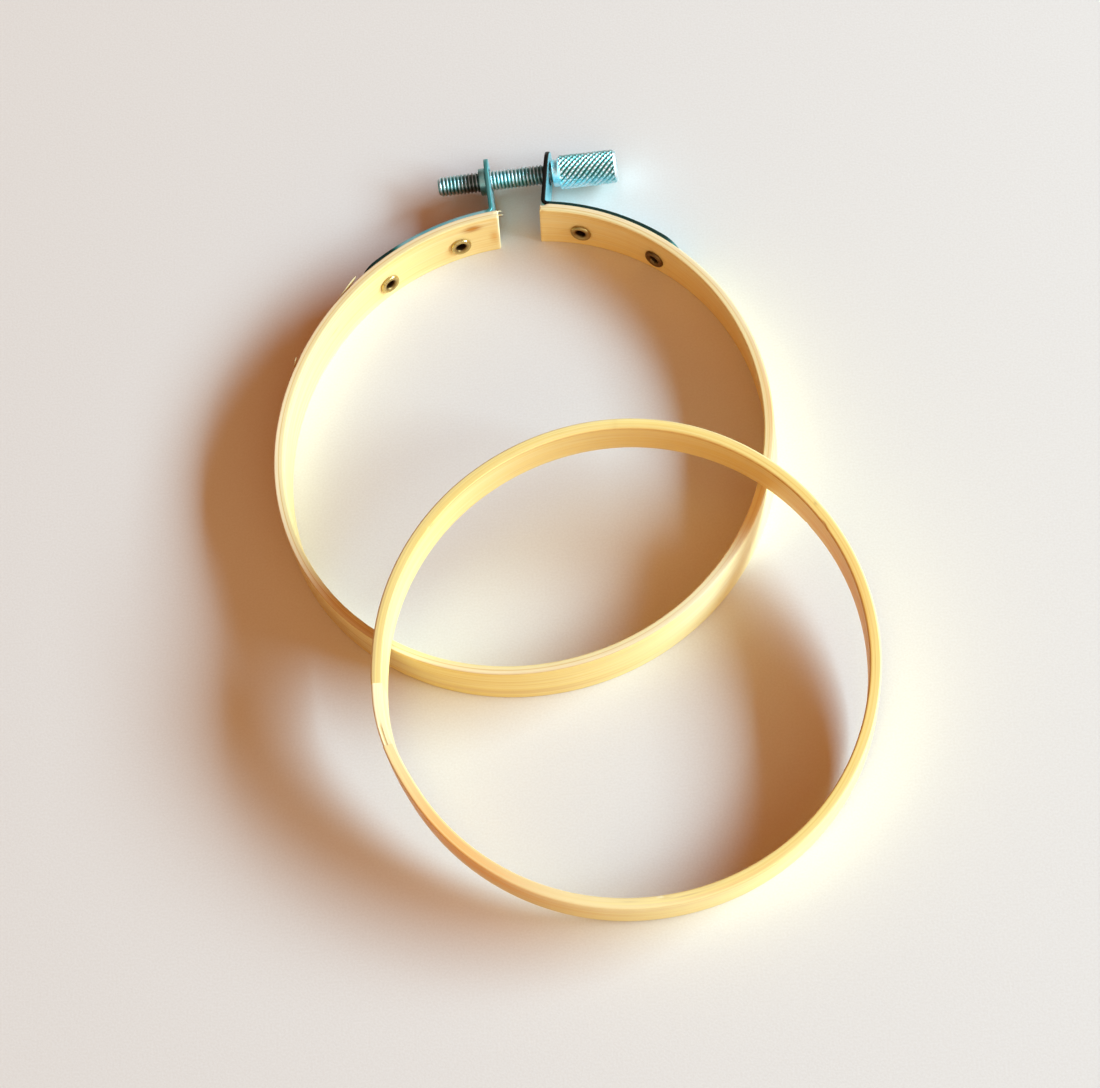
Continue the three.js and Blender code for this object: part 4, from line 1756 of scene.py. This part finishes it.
@dataclass
class TubularRivet:
    """A tubular rivet: domed head outside, rolled rim with a dark bore inside.

    Attributes:
        side: Which end it is on.
        spot: Name of its place, as in the construction.
        along: Distance from the middle of the gap.
        height: Height over the table.
        head_face: Where the head sits, out from the strip's outer face.
        head_radius: Radius of the head.
        head_height: Height of the dome.
        rim_face: Where the rolled rim sits, in from the outer face.
        rim_radius: Outer radius of the rolled rim.
        rim_height: Height of the rolled rim.
        shank_radius: Radius of the shank.
        bore_radius: Radius of the bore.
        bore_floor: Metal left at the bottom of the bore.
        film: Least darkening over the whole eyelet, which on the eyelets in shade is painted shade.
        turned_steps: Steps round it.
    """

    side: Side
    spot: str
    along: float
    height: float = 4.5
    head_face: float = 1.35
    head_radius: float = 2.3
    head_height: float = 0.8
    rim_face: float = -2.3
    rim_radius: float = 2.3
    rim_height: float = 0.55
    shank_radius: float = 1.2
    bore_radius: float = 1.05
    bore_floor: float = 0.5
    film: float = 0.0
    turned_steps: int = 40

    def outline(self) -> tuple[np.ndarray, np.ndarray]:
        """The rivet's outline and the painted shade of each point, darkest deep in the bore.

        Returns:
            Pairs of radius and place, and a value from 0 to 1 for each.
        """
        floor = self.head_face - self.bore_floor
        crest = self.rim_face - self.rim_height
        crest_radius = 0.35 * self.bore_radius + 0.65 * self.rim_radius
        # the third value is painted shade: 1 in the bore, fading to 0 at the rim's crest
        rows = [
            (POLE_RADIUS, floor, 1.0),
            (self.bore_radius * 0.9, floor, 1.0),
            (self.bore_radius, floor - 0.1, 1.0),
            (self.bore_radius, self.rim_face + 0.5, 0.95),
            (self.bore_radius, self.rim_face, 0.8),
        ]
        for step in range(1, 7):
            angle = step / 6 * math.pi / 2
            radius = crest_radius - (crest_radius - self.bore_radius) * math.cos(angle)
            film = 0.9 - 0.025 * step * step
            rows.append((radius, self.rim_face - self.rim_height * math.sin(angle), film))
        for step in range(1, 8):
            angle = step / 7 * math.pi / 2
            radius = crest_radius + (self.rim_radius - crest_radius) * math.sin(angle)
            rows.append((radius, crest + self.rim_height * (1 - math.cos(angle)), 0.0))
        rows.append((self.shank_radius, self.rim_face, 0.0))
        rows.append((self.shank_radius, self.head_face, 0.0))
        rows.append((self.head_radius - 0.05, self.head_face, 0.0))
        for step in range(0, 9):
            angle = step / 8 * math.pi / 2
            radius = max(self.head_radius * math.cos(angle), POLE_RADIUS)
            rows.append((radius, self.head_face + self.head_height * math.sin(angle), 0.0))
        table = np.array(rows)
        return table[:, :2], table[:, 2]

    def build(self, path: StripPath, finishes: Finishes) -> bpy.types.Object:
        """Builds the rivet in its hole.

        Args:
            path: The strip's plan curve.
            finishes: The shared finishes.

        Returns:
            The rivet.
        """
        outline, depth = self.outline()
        points, faces = lathe(outline, self.turned_steps)
        placement = path.frame(self.side.value * self.along, self.height)
        name = f"{self.side.word}_eyelet_{self.spot}"
        values = {SHADE_AND_TONE_ATTRIBUTE: np.maximum(np.repeat(depth, self.turned_steps), self.film)}
        piece = make_piece(name, moved(points, placement), faces, finishes.brass, values)
        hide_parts(f"{self.side.word}_rivet_{self.spot}")
        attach(piece, "outer_hoop" if self.side is Side.LEFT else "right_end")
        return piece


@dataclass
class ThumbScrew:
    """The thumb screw: rolled thread, smooth shoulder and diamond-knurled head in one piece.

    Attributes:
        axis: Its axis.
        tip: Place of the tip, from the point of the axis at the ring's middle.
        shoulder: Where the shoulder starts.
        pitch: Of the thread.
        crest: Radius over the crests.
        root: Radius at the roots.
        tip_chamfer: Chamfer at the tip.
        lug_shade_reach: How far from the shoulder the thread gets painted shade and brown reflection.
        nut_shade_middle: Middle of the painted shade beside the nut, from the tip.
        nut_shade_reach: How far on either side that painted shade reaches.
        lug_shade_strengths: How dark the painted shade is beside the shoulder and beside the nut.
        thread_shades: How dark the painted shade is on the crests, at the roots and on the tip.
        shoulder_radius: Radius of the shoulder.
        shoulder_length: Length of the shoulder.
        head_radius: Radius of the head at its free end.
        head_taper: How much smaller the head is beside the shoulder, below 0 for larger.
        head_length: Length of the head.
        head_chamfer: Chamfer at both ends of the head.
        knurl_pitch: Distance between knurl lines along the axis.
        knurl_starts: Number of knurl lines round the head, each way.
        knurl_depths: Depth of the knurl lines each way, as one roller bit deeper than the other.
        lit_side_middle: Angle round the head, from the top, of the side lightened with painted light.
        lit_side_reach: How far round that side reaches, in radians.
        lit_side_lift: How much of the grooves' painted shade is gone in its middle.
        pitch_steps: Steps in one pitch of the thread.
        crest_width: Steepness of the thread's flanks, over 1 for a flat crest.
        runout: Length over which the thread runs out before the shoulder.
        head_step: Distance between the head's cross-sections.
        knurl_flank: How steeply the knurl's grooves fall, in depths a pitch.
        knurl_shade_gain: How fast the grooves' painted shade grows with their depth.
        knurl_darkest: How dark they get at most.
        thread_steps: Steps round the thread.
        head_steps: Steps round the head, enough for each of the knurl's lines.
        turned_steps: Steps round the smooth parts.
    """

    axis: ScrewAxis
    tip: float
    shoulder: float
    pitch: float = 0.8
    crest: float = 2.2
    root: float = 1.86
    tip_chamfer: float = 0.6
    lug_shade_reach: float = 10.0
    nut_shade_middle: float = 7.4
    nut_shade_reach: float = 4.2
    lug_shade_strengths: tuple[float, float] = (0.8, 0.75)
    thread_shades: tuple[float, float, float] = (0.12, 0.8, 0.2)
    shoulder_radius: float = 3.0
    shoulder_length: float = 1.3
    head_radius: float = 3.7
    head_taper: float = -0.08
    head_length: float = 12.8
    head_chamfer: float = 0.5
    knurl_pitch: float = 1.24
    knurl_starts: int = 16
    knurl_depths: tuple[float, float] = (0.32, 0.14)
    lit_side_middle: float = math.radians(105)
    lit_side_reach: float = math.radians(75)
    lit_side_lift: float = 0.75
    pitch_steps: int = 10
    crest_width: float = 1.18
    runout: float = 0.9
    head_step: float = 0.095
    knurl_flank: float = 2.9
    knurl_shade_gain: float = 1.2
    knurl_darkest: float = 0.8
    thread_steps: int = 40
    head_steps: int = 300
    turned_steps: int = 72

    def thread(self) -> tuple[np.ndarray, list[tuple[int, ...]], np.ndarray]:
        """The thread as a grid, with the helix in its radius.

        Returns:
            Points, faces and the painted shade of each point, darkest at the roots.
        """
        columns = self.thread_steps
        rows = int((self.shoulder - self.tip) / (self.pitch / self.pitch_steps)) + 1
        along = np.linspace(self.tip, self.shoulder, rows)
        angle = np.linspace(0, 2 * math.pi, columns, endpoint=False)
        y, turn = np.meshgrid(along, angle, indexing="ij")
        phase = np.mod(y / self.pitch - turn / (2 * math.pi), 1)
        # a rolled thread has flanks at 60 degrees with a narrow crest and a rounded root
        height = np.clip(self.crest_width * (1 - 2 * np.abs(phase - 0.5)), 0, 1)
        height = height * height * (3 - 2 * height)
        radius = self.root + (self.crest - self.root) * height
        chamfer = self.crest - self.tip_chamfer + (y - self.tip)
        runout = np.clip((self.shoulder - y) / self.runout, 0, 1)
        radius = self.root + (radius - self.root) * runout
        radius = np.minimum(radius, chamfer)
        points = np.stack([radius * np.sin(turn), y, radius * np.cos(turn)], -1).reshape(-1, 3)
        middle = len(points)
        points = np.concatenate([points, [[0, self.tip, 0]]])
        faces = ring_faces(rows, columns)
        faces += [(k, middle, (k + 1) % columns) for k in range(columns)]
        # painted shade: light on the crests, darkest at the roots
        crest_shade, root_shade, tip_shade = self.thread_shades
        film = crest_shade + (root_shade - crest_shade) * (1 - height)
        groove = np.append(film.ravel(), tip_shade)
        return points, faces, groove

    def head(self) -> tuple[np.ndarray, list[tuple[int, ...]], np.ndarray]:
        """The knurled head as a grid, with the diamonds in its radius.

        Returns:
            Points, faces and the painted shade of each point, darkest in the grooves and lifted by painted
            light on one side.
        """
        columns = self.head_steps
        start = self.shoulder + self.shoulder_length
        end = start + self.head_length
        rows = int(self.head_length / self.head_step) + 1
        along = np.linspace(start, end, rows)
        angle = np.linspace(0, 2 * math.pi, columns, endpoint=False)
        y, turn = np.meshgrid(along, angle, indexing="ij")
        lean = self.knurl_starts * turn / (2 * math.pi)
        groove = np.zeros_like(y)
        for way, depth in zip((1, -1), self.knurl_depths):
            phase = np.mod((y - start) / self.knurl_pitch + way * lean, 1)
            cut = np.clip(1.05 - self.knurl_flank * np.abs(phase - 0.5), 0, 1)
            groove = np.maximum(groove, depth * cut)
        full = self.head_radius - self.head_taper * (end - y) / self.head_length
        nearest = np.minimum(y - start, end - y)
        radius = np.minimum(full - groove, full - self.head_chamfer + nearest)
        points = np.stack([radius * np.sin(turn), y, radius * np.cos(turn)], -1).reshape(-1, 3)
        faces = ring_faces(rows, columns)
        # painted shade in the knurl's grooves, lifted by painted light on the lower front side
        deep = np.where(nearest < self.head_chamfer, 0, groove / max(self.knurl_depths))
        off = round_distance(turn, self.lit_side_middle, 2 * math.pi)
        deep = deep * (1 - self.lit_side_lift * smooth_fall(off, self.lit_side_reach))
        return points, faces, np.clip(self.knurl_shade_gain * deep, 0, self.knurl_darkest).ravel()

    def turned_parts(self) -> tuple[np.ndarray, list[tuple[int, ...]]]:
        """The smooth shoulder and the two end faces of the head."""
        start = self.shoulder + self.shoulder_length
        end = start + self.head_length
        inner = self.head_radius - self.head_chamfer
        near = inner - self.head_taper
        radius = self.shoulder_radius
        outline = [
            (self.root * 0.9, self.shoulder),
            (radius - 0.25, self.shoulder),
            (radius - 0.07, self.shoulder + 0.07),
            (radius, self.shoulder + 0.25),
            (radius, start - 0.1),
            (radius + 0.05, start),
            (near, start),
        ]
        points, faces = lathe(np.array(outline), self.turned_steps)
        cap = [
            (inner, end),
            (inner - 0.3, end),
            (inner - 0.5, end - 0.06),
            (0.6, end - 0.06),
            (POLE_RADIUS, end - 0.1),
        ]
        cap_points, _ = lathe(np.array(cap), self.turned_steps)
        faces = faces + ring_faces(len(cap), self.turned_steps, start=len(points))
        return np.concatenate([points, cap_points]), faces

    def build(self, finishes: Finishes) -> bpy.types.Object:
        """Builds the screw in one piece.

        Args:
            finishes: The shared finishes.

        Returns:
            The screw.
        """
        thread_points, faces, thread_painted_shade = self.thread()
        head_points, head_faces, head_painted_shade = self.head()
        smooth_points, smooth_faces = self.turned_parts()
        parts = [thread_points, head_points, smooth_points]
        shift = len(thread_points)
        faces += [tuple(k + shift for k in face) for face in head_faces]
        shift += len(head_points)
        faces += [tuple(k + shift for k in face) for face in smooth_faces]
        groove = np.concatenate([thread_painted_shade, head_painted_shade, np.zeros(len(smooth_points))])
        y = np.concatenate(parts)[:, 1]
        # painted shade and brown reflection on the thread beside the right lug and beside the nut
        by_lug, by_nut = self.lug_shade_strengths
        near_lug_shade = by_lug * smooth_fall(y - self.shoulder, self.lug_shade_reach)
        beside_nut = by_nut * smooth_fall(y - self.tip - self.nut_shade_middle, self.nut_shade_reach)
        lug_shade = np.where(y < self.shoulder, np.maximum(near_lug_shade, beside_nut), 0)
        values = {SHADE_AND_TONE_ATTRIBUTE: groove, LUG_SHADE_ATTRIBUTE: lug_shade}
        placement = self.axis.placement(self.axis.point(0.0), self.axis.yaw)
        points = moved(np.concatenate(parts), placement)
        piece = make_piece("thumb_screw_knurled", points, faces, finishes.zinc, values)
        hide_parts("thumb_screw")
        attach(piece, "screw")
        return piece


@dataclass
class PressNut:
    """The press nut, clinched into the left lug's outer face.

    Attributes:
        bracket: The bracket that holds it.
        radius: Its outer radius.
        thickness: Its thickness.
        chamfer: Its chamfer.
        seat: Clearance to the lug.
        bore: Radius of its bore.
        dullness: How dark the nut is made, as a share of the zinc's dark colours.
        turned_steps: Steps round it.
    """

    bracket: StrapBracket
    radius: float = 3.0
    thickness: float = 1.4
    chamfer: float = 0.2
    seat: float = 0.2
    bore: float = 2.6
    dullness: float = 0.6
    turned_steps: int = 56

    def build(self, finishes: Finishes) -> bpy.types.Object:
        """Builds the nut.

        Args:
            finishes: The shared finishes.

        Returns:
            The nut.
        """
        low = -self.thickness
        outline = np.array([
            (self.bore, 0.0),
            (self.bore, low + 0.12),
            (self.bore + 0.03, low + 0.03),
            (self.bore + 0.12, low),
            (self.radius - self.chamfer, low),
            (self.radius - 0.5 * self.chamfer, low + 0.15 * self.chamfer),
            (self.radius - 0.12 * self.chamfer, low + 0.6 * self.chamfer),
            (self.radius, low + 1.1 * self.chamfer),
            (self.radius, -0.1),
            (self.radius - 0.1, 0.0),
            (self.bore, 0.0),
        ])
        points, faces = lathe(outline, self.turned_steps)
        direction = self.bracket.direction
        face = np.array([direction[1], -direction[0], 0])
        spot = self.bracket.lug_centre() - face * (self.bracket.thickness / 2 + self.seat)
        placement = self.bracket.axis.placement(spot, self.bracket.lean)
        values = {SHADE_AND_TONE_ATTRIBUTE: np.full(len(points), self.dullness)}
        piece = make_piece("press_nut_collar", moved(points, placement), faces, finishes.zinc, values)
        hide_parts("press_nut")
        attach(piece, "outer_hoop")
        return piece


@dataclass
class Studio:
    """A plain pale table and plain soft light: a wide low window and the warm room round it.

    Attributes:
        key_azimuth: Direction of the window from +X, in degrees.
        key_elevation: Its height over the table, in degrees.
        key_distance: Distance from the middle of the hoop, in metres.
        key_width: Width of the window, in metres.
        key_height: Height of the window, in metres.
        key_power: Its power in watts.
        key_colour: Cool daylight.
        fill_colour: Warm light from the room.
        fill_strength: Strength of that light. On the table it makes up white with the window.
        above_gain: How much stronger it is from above and a little in front.
        front_colour: Light from the pale wall low in front of the table.
        front_strength: Strength of that light.
        backdrop: Colour that the camera sees beyond the table.
        ceiling: Pale ceiling, as the metal mirrors it.
        far_corner: Dark side of the room away from the window, as the metal mirrors it.
        above_direction: Where the warm light is strongest, as a unit vector.
        front_direction: Direction of the pale wall, as a unit vector.
        dark_direction: Direction of the dark side, as a unit vector.
        above_spread: Cosines at which the warm light starts to be and is strongest.
        front_spread: The same for the pale wall.
        dark_spread: The same for the dark side.
        table_reach: From the middle to the table's edges, in millimetres.
        table_drop: How far the table lies below the hoop, in millimetres.
    """

    key_azimuth: float = 2.5
    key_elevation: float = 25.4
    key_distance: float = 3.0
    key_width: float = 2.8
    key_height: float = 0.82
    key_power: float = 221.0
    key_colour: str = "#C1E8FD"
    fill_colour: str = "#FF9856"
    fill_strength: float = 0.232
    above_gain: float = 0.9
    front_colour: str = "#FFE4A8"
    front_strength: float = 1.5
    backdrop: str = "#E6E1DA"
    ceiling: str = "#DCD8D2"
    far_corner: str = "#1B2122"
    above_direction: tuple[float, float, float] = (-0.3, -0.4, 0.87)
    front_direction: tuple[float, float, float] = (0.46, -0.88, 0.1)
    dark_direction: tuple[float, float, float] = (-0.84, 0.40, 0.36)
    above_spread: tuple[float, float] = (0.2, 0.95)
    front_spread: tuple[float, float] = (0.45, 0.95)
    dark_spread: tuple[float, float] = (0.45, 0.9)
    table_reach: float = 3000.0
    table_drop: float = 0.01

    def build(self, finishes: Finishes) -> None:
        """Lays the table and sets the lights.

        Args:
            finishes: The shared finishes.
        """
        signs = np.array([(-1, -1, 0), (1, -1, 0), (1, 1, 0), (-1, 1, 0)])
        corners = signs * self.table_reach - np.array([0, 0, self.table_drop])
        table = make_piece("paper_table", corners, [(0, 1, 2, 3)], finishes.paper)
        self.add_key()
        self.light_world()

    def add_key(self) -> None:
        """Adds the window light."""
        light = bpy.data.lights.new("window", "AREA")
        light.shape = "RECTANGLE"
        light.size = self.key_width
        light.size_y = self.key_height
        light.energy = self.key_power
        light.color = linear_colour(self.key_colour)[:3]
        azimuth = math.radians(self.key_azimuth)
        elevation = math.radians(self.key_elevation)
        towards = Vector((
            math.cos(azimuth) * math.cos(elevation),
            math.sin(azimuth) * math.cos(elevation),
            math.sin(elevation),
        ))
        lamp = bpy.data.objects.new("window", light)
        turned = towards.to_track_quat("Z", "Y").to_matrix().to_4x4()
        lamp.matrix_world = Matrix.Translation(towards * self.key_distance) @ turned
        bpy.context.scene.collection.objects.link(lamp)

    def towards(
        self,
        tree: bpy.types.NodeTree,
        direction: bpy.types.NodeSocket,
        middle: tuple[float, float, float],
        spread: tuple[float, float],
    ) -> bpy.types.NodeSocket:
        """How much a direction of the room points to one part of it.

        Args:
            tree: The world's tree.
            direction: Socket with the direction.
            middle: Middle of the part, as a unit vector.
            spread: Cosines at which the part starts and at which it is full.

        Returns:
            A socket from 0 to 1.
        """
        cosine = add_node(tree, "VectorMath", {0: direction, 1: middle}, operation="DOT_PRODUCT")
        share = {0: cosine.outputs["Value"], 1: spread[0], 2: spread[1]}
        return add_node(tree, "MapRange", share, interpolation_type="SMOOTHSTEP").outputs[0]

    def light_world(self) -> None:
        """Gives the room's warm fill, the backdrop, and the room that the metal mirrors."""
        world = bpy.data.worlds.new("room")
        bpy.context.scene.world = world
        world.use_nodes = True
        tree = world.node_tree
        tree.nodes.clear()
        rays = add_node(tree, "LightPath")
        direction = add_node(tree, "TexCoord").outputs["Generated"]
        above = self.towards(tree, direction, self.above_direction, self.above_spread)
        most = self.fill_strength * (1 + self.above_gain)
        gain = add_node(tree, "MapRange", {0: above, 3: self.fill_strength, 4: most}).outputs[0]
        colour = linear_colour(self.fill_colour)
        warm = add_node(tree, "Background", {"Color": colour, "Strength": gain})
        colour = linear_colour(self.front_colour)
        front = add_node(tree, "Background", {"Color": colour, "Strength": self.front_strength})
        ahead = self.towards(tree, direction, self.front_direction, self.front_spread)
        fill = add_node(tree, "MixShader", {0: ahead, 1: warm.outputs[0], 2: front.outputs[0]})
        dark = self.towards(tree, direction, self.dark_direction, self.dark_spread)
        room = lay_colours(tree, self.ceiling, ((dark, self.far_corner),))
        bright = add_node(tree, "Math", {0: ahead, 1: 1.0}, operation="ADD").outputs[0]
        mirrored = add_node(tree, "Background", {"Color": room, "Strength": bright})
        pale = add_node(tree, "Background", {"Color": linear_colour(self.backdrop)})
        mirroring = {0: rays.outputs["Is Glossy Ray"], 1: rays.outputs["Is Transmission Ray"]}
        inside = add_node(tree, "Math", mirroring, operation="MAXIMUM").outputs[0]
        lit = add_node(tree, "MixShader", {0: inside, 1: fill.outputs[0], 2: mirrored.outputs[0]})
        direct = rays.outputs["Is Camera Ray"]
        seen = add_node(tree, "MixShader", {0: direct, 1: lit.outputs[0], 2: pale.outputs[0]})
        add_node(tree, "OutputWorld", {"Surface": seen.outputs[0]})


@dataclass
class PhotoCamera:
    """The camera at the photograph's viewing angle.

    Attributes:
        azimuth: Of the camera from -Y towards +X, in degrees.
        elevation: Of the camera over the table, in degrees.
        roll: Of the picture, in degrees.
        distance: From the aim, in millimetres.
        aim: What it looks at, in the shared frame.
        lens: Focal length on a 36 mm wide sensor.
    """

    azimuth: float = 11.895
    elevation: float = 61.859
    roll: float = -15.021
    distance: float = 616.528
    aim: tuple[float, float, float] = (-4.431, -6.469, 5.0)
    lens: float = 98.18

    def build(self) -> bpy.types.Object:
        """Makes the scene's camera.

        Returns:
            The camera.
        """
        azimuth = math.radians(self.azimuth)
        elevation = math.radians(self.elevation)
        back = Vector((
            math.sin(azimuth) * math.cos(elevation),
            -math.cos(azimuth) * math.cos(elevation),
            math.sin(elevation),
        ))
        level = Vector((math.cos(azimuth), math.sin(azimuth), 0))
        rise = back.cross(level)
        roll = math.radians(self.roll)
        right = level * math.cos(roll) + rise * math.sin(roll)
        upward = rise * math.cos(roll) - level * math.sin(roll)
        turned = Matrix((right, upward, back)).transposed().to_4x4()
        spot = Vector(self.aim) + back * self.distance
        settings = bpy.data.cameras.new("photo_camera")
        settings.lens = self.lens
        settings.sensor_width = 36.0
        settings.sensor_fit = "HORIZONTAL"
        settings.clip_start = 0.01
        camera = bpy.data.objects.new("photo_camera", settings)
        camera.matrix_world = Matrix.Translation(spot * MILLIMETRE) @ turned
        bpy.context.scene.collection.objects.link(camera)
        bpy.context.scene.camera = camera
        return camera


SPLINTERS = (
    Splinter(
        "skin_splinter_long",
        (
            (-47.3, 0.02, 10.2),
            (-45.0, 0.15, 10.1),
            (-42.0, 0.45, 10.0),
            (-39.6, 0.85, 10.1),
            (-38.2, 1.05, 10.4),
        ),
        (0.1, 0.9, 1.3, 1.0, 0.1),
    ),
    Splinter(
        "skin_splinter_short",
        ((-64.2, 0.0, 10.0), (-63.2, 0.35, 9.9), (-61.8, 0.65, 10.1), (-61.0, 0.75, 10.4)),
        (0.1, 0.8, 0.9, 0.1),
    ),
    Splinter(
        "end_burr_upper",
        ((-5.2, -0.6, 10.9), (-4.4, -0.5, 10.9), (-3.7, -0.3, 10.7), (-3.3, -0.2, 10.4)),
        (0.3, 0.35, 0.25, 0.05),
        thickness=0.16,
    ),
    Splinter(
        "end_burr_lower",
        ((-5.2, -1.4, 10.8), (-4.4, -1.3, 10.8), (-3.6, -1.5, 10.9), (-3.0, -1.6, 11.0)),
        (0.3, 0.4, 0.3, 0.05),
        thickness=0.16,
    ),
)


def build_clamp(path: StripPath, finishes: Finishes) -> None:
    """Builds the brackets, rivets, screw and nut.

    Args:
        path: The strip's plan curve.
        finishes: The shared finishes.
    """
    axis = ScrewAxis(path)
    left = StrapBracket(
        Side.LEFT,
        axis,
        setback=0.95,
        lean=5.0,
        hole_clearance=0.9,
        edge_shade=0.58,
        bright_edge=19.0,
    )
    right = StrapBracket(Side.RIGHT, axis, setback=0.9, lean=4.9, hole_clearance=0.5)
    for bracket in (left, right):
        bracket.build(finishes)
        shaded = bracket.side is Side.RIGHT
        # painted shade: the right eyelets lie in shade, the far one deepest
        for spot, along, film in (("near_gap", 9.4, 0.45), ("far", 28.0, 0.88)):
            rivet = TubularRivet(bracket.side, spot, path.gap / 2 + along, film=film if shaded else 0.1)
            rivet.build(path, finishes)
    middle = axis.point(0.0)
    nut = PressNut(left)
    shoulder_seat = 0.6
    overhang = 9.1
    right_reach = float(np.linalg.norm(right.lug_centre() - middle))
    left_reach = float(np.linalg.norm(left.lug_centre() - middle))
    shoulder = right_reach + right.thickness / 2 + shoulder_seat
    tip = -(left_reach + left.thickness / 2 + nut.seat + nut.thickness + overhang)
    nut.build(finishes)
    ThumbScrew(axis, tip, shoulder).build(finishes)


def main() -> None:
    """Builds the whole scene in order."""
    logging.basicConfig(level=logging.INFO, format="%(name)s: %(message)s")
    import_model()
    bpy.context.scene.view_settings.view_transform = "Standard"
    finishes = Finishes()
    path = StripPath()
    PhotoCamera().build()
    Studio().build(finishes)
    OuterStrip(path).build(finishes)
    for splinter in SPLINTERS:
        splinter.build(path, finishes)
    build_clamp(path, finishes)
    InnerRing().build(finishes)


if __name__ == "__main__":
    main()
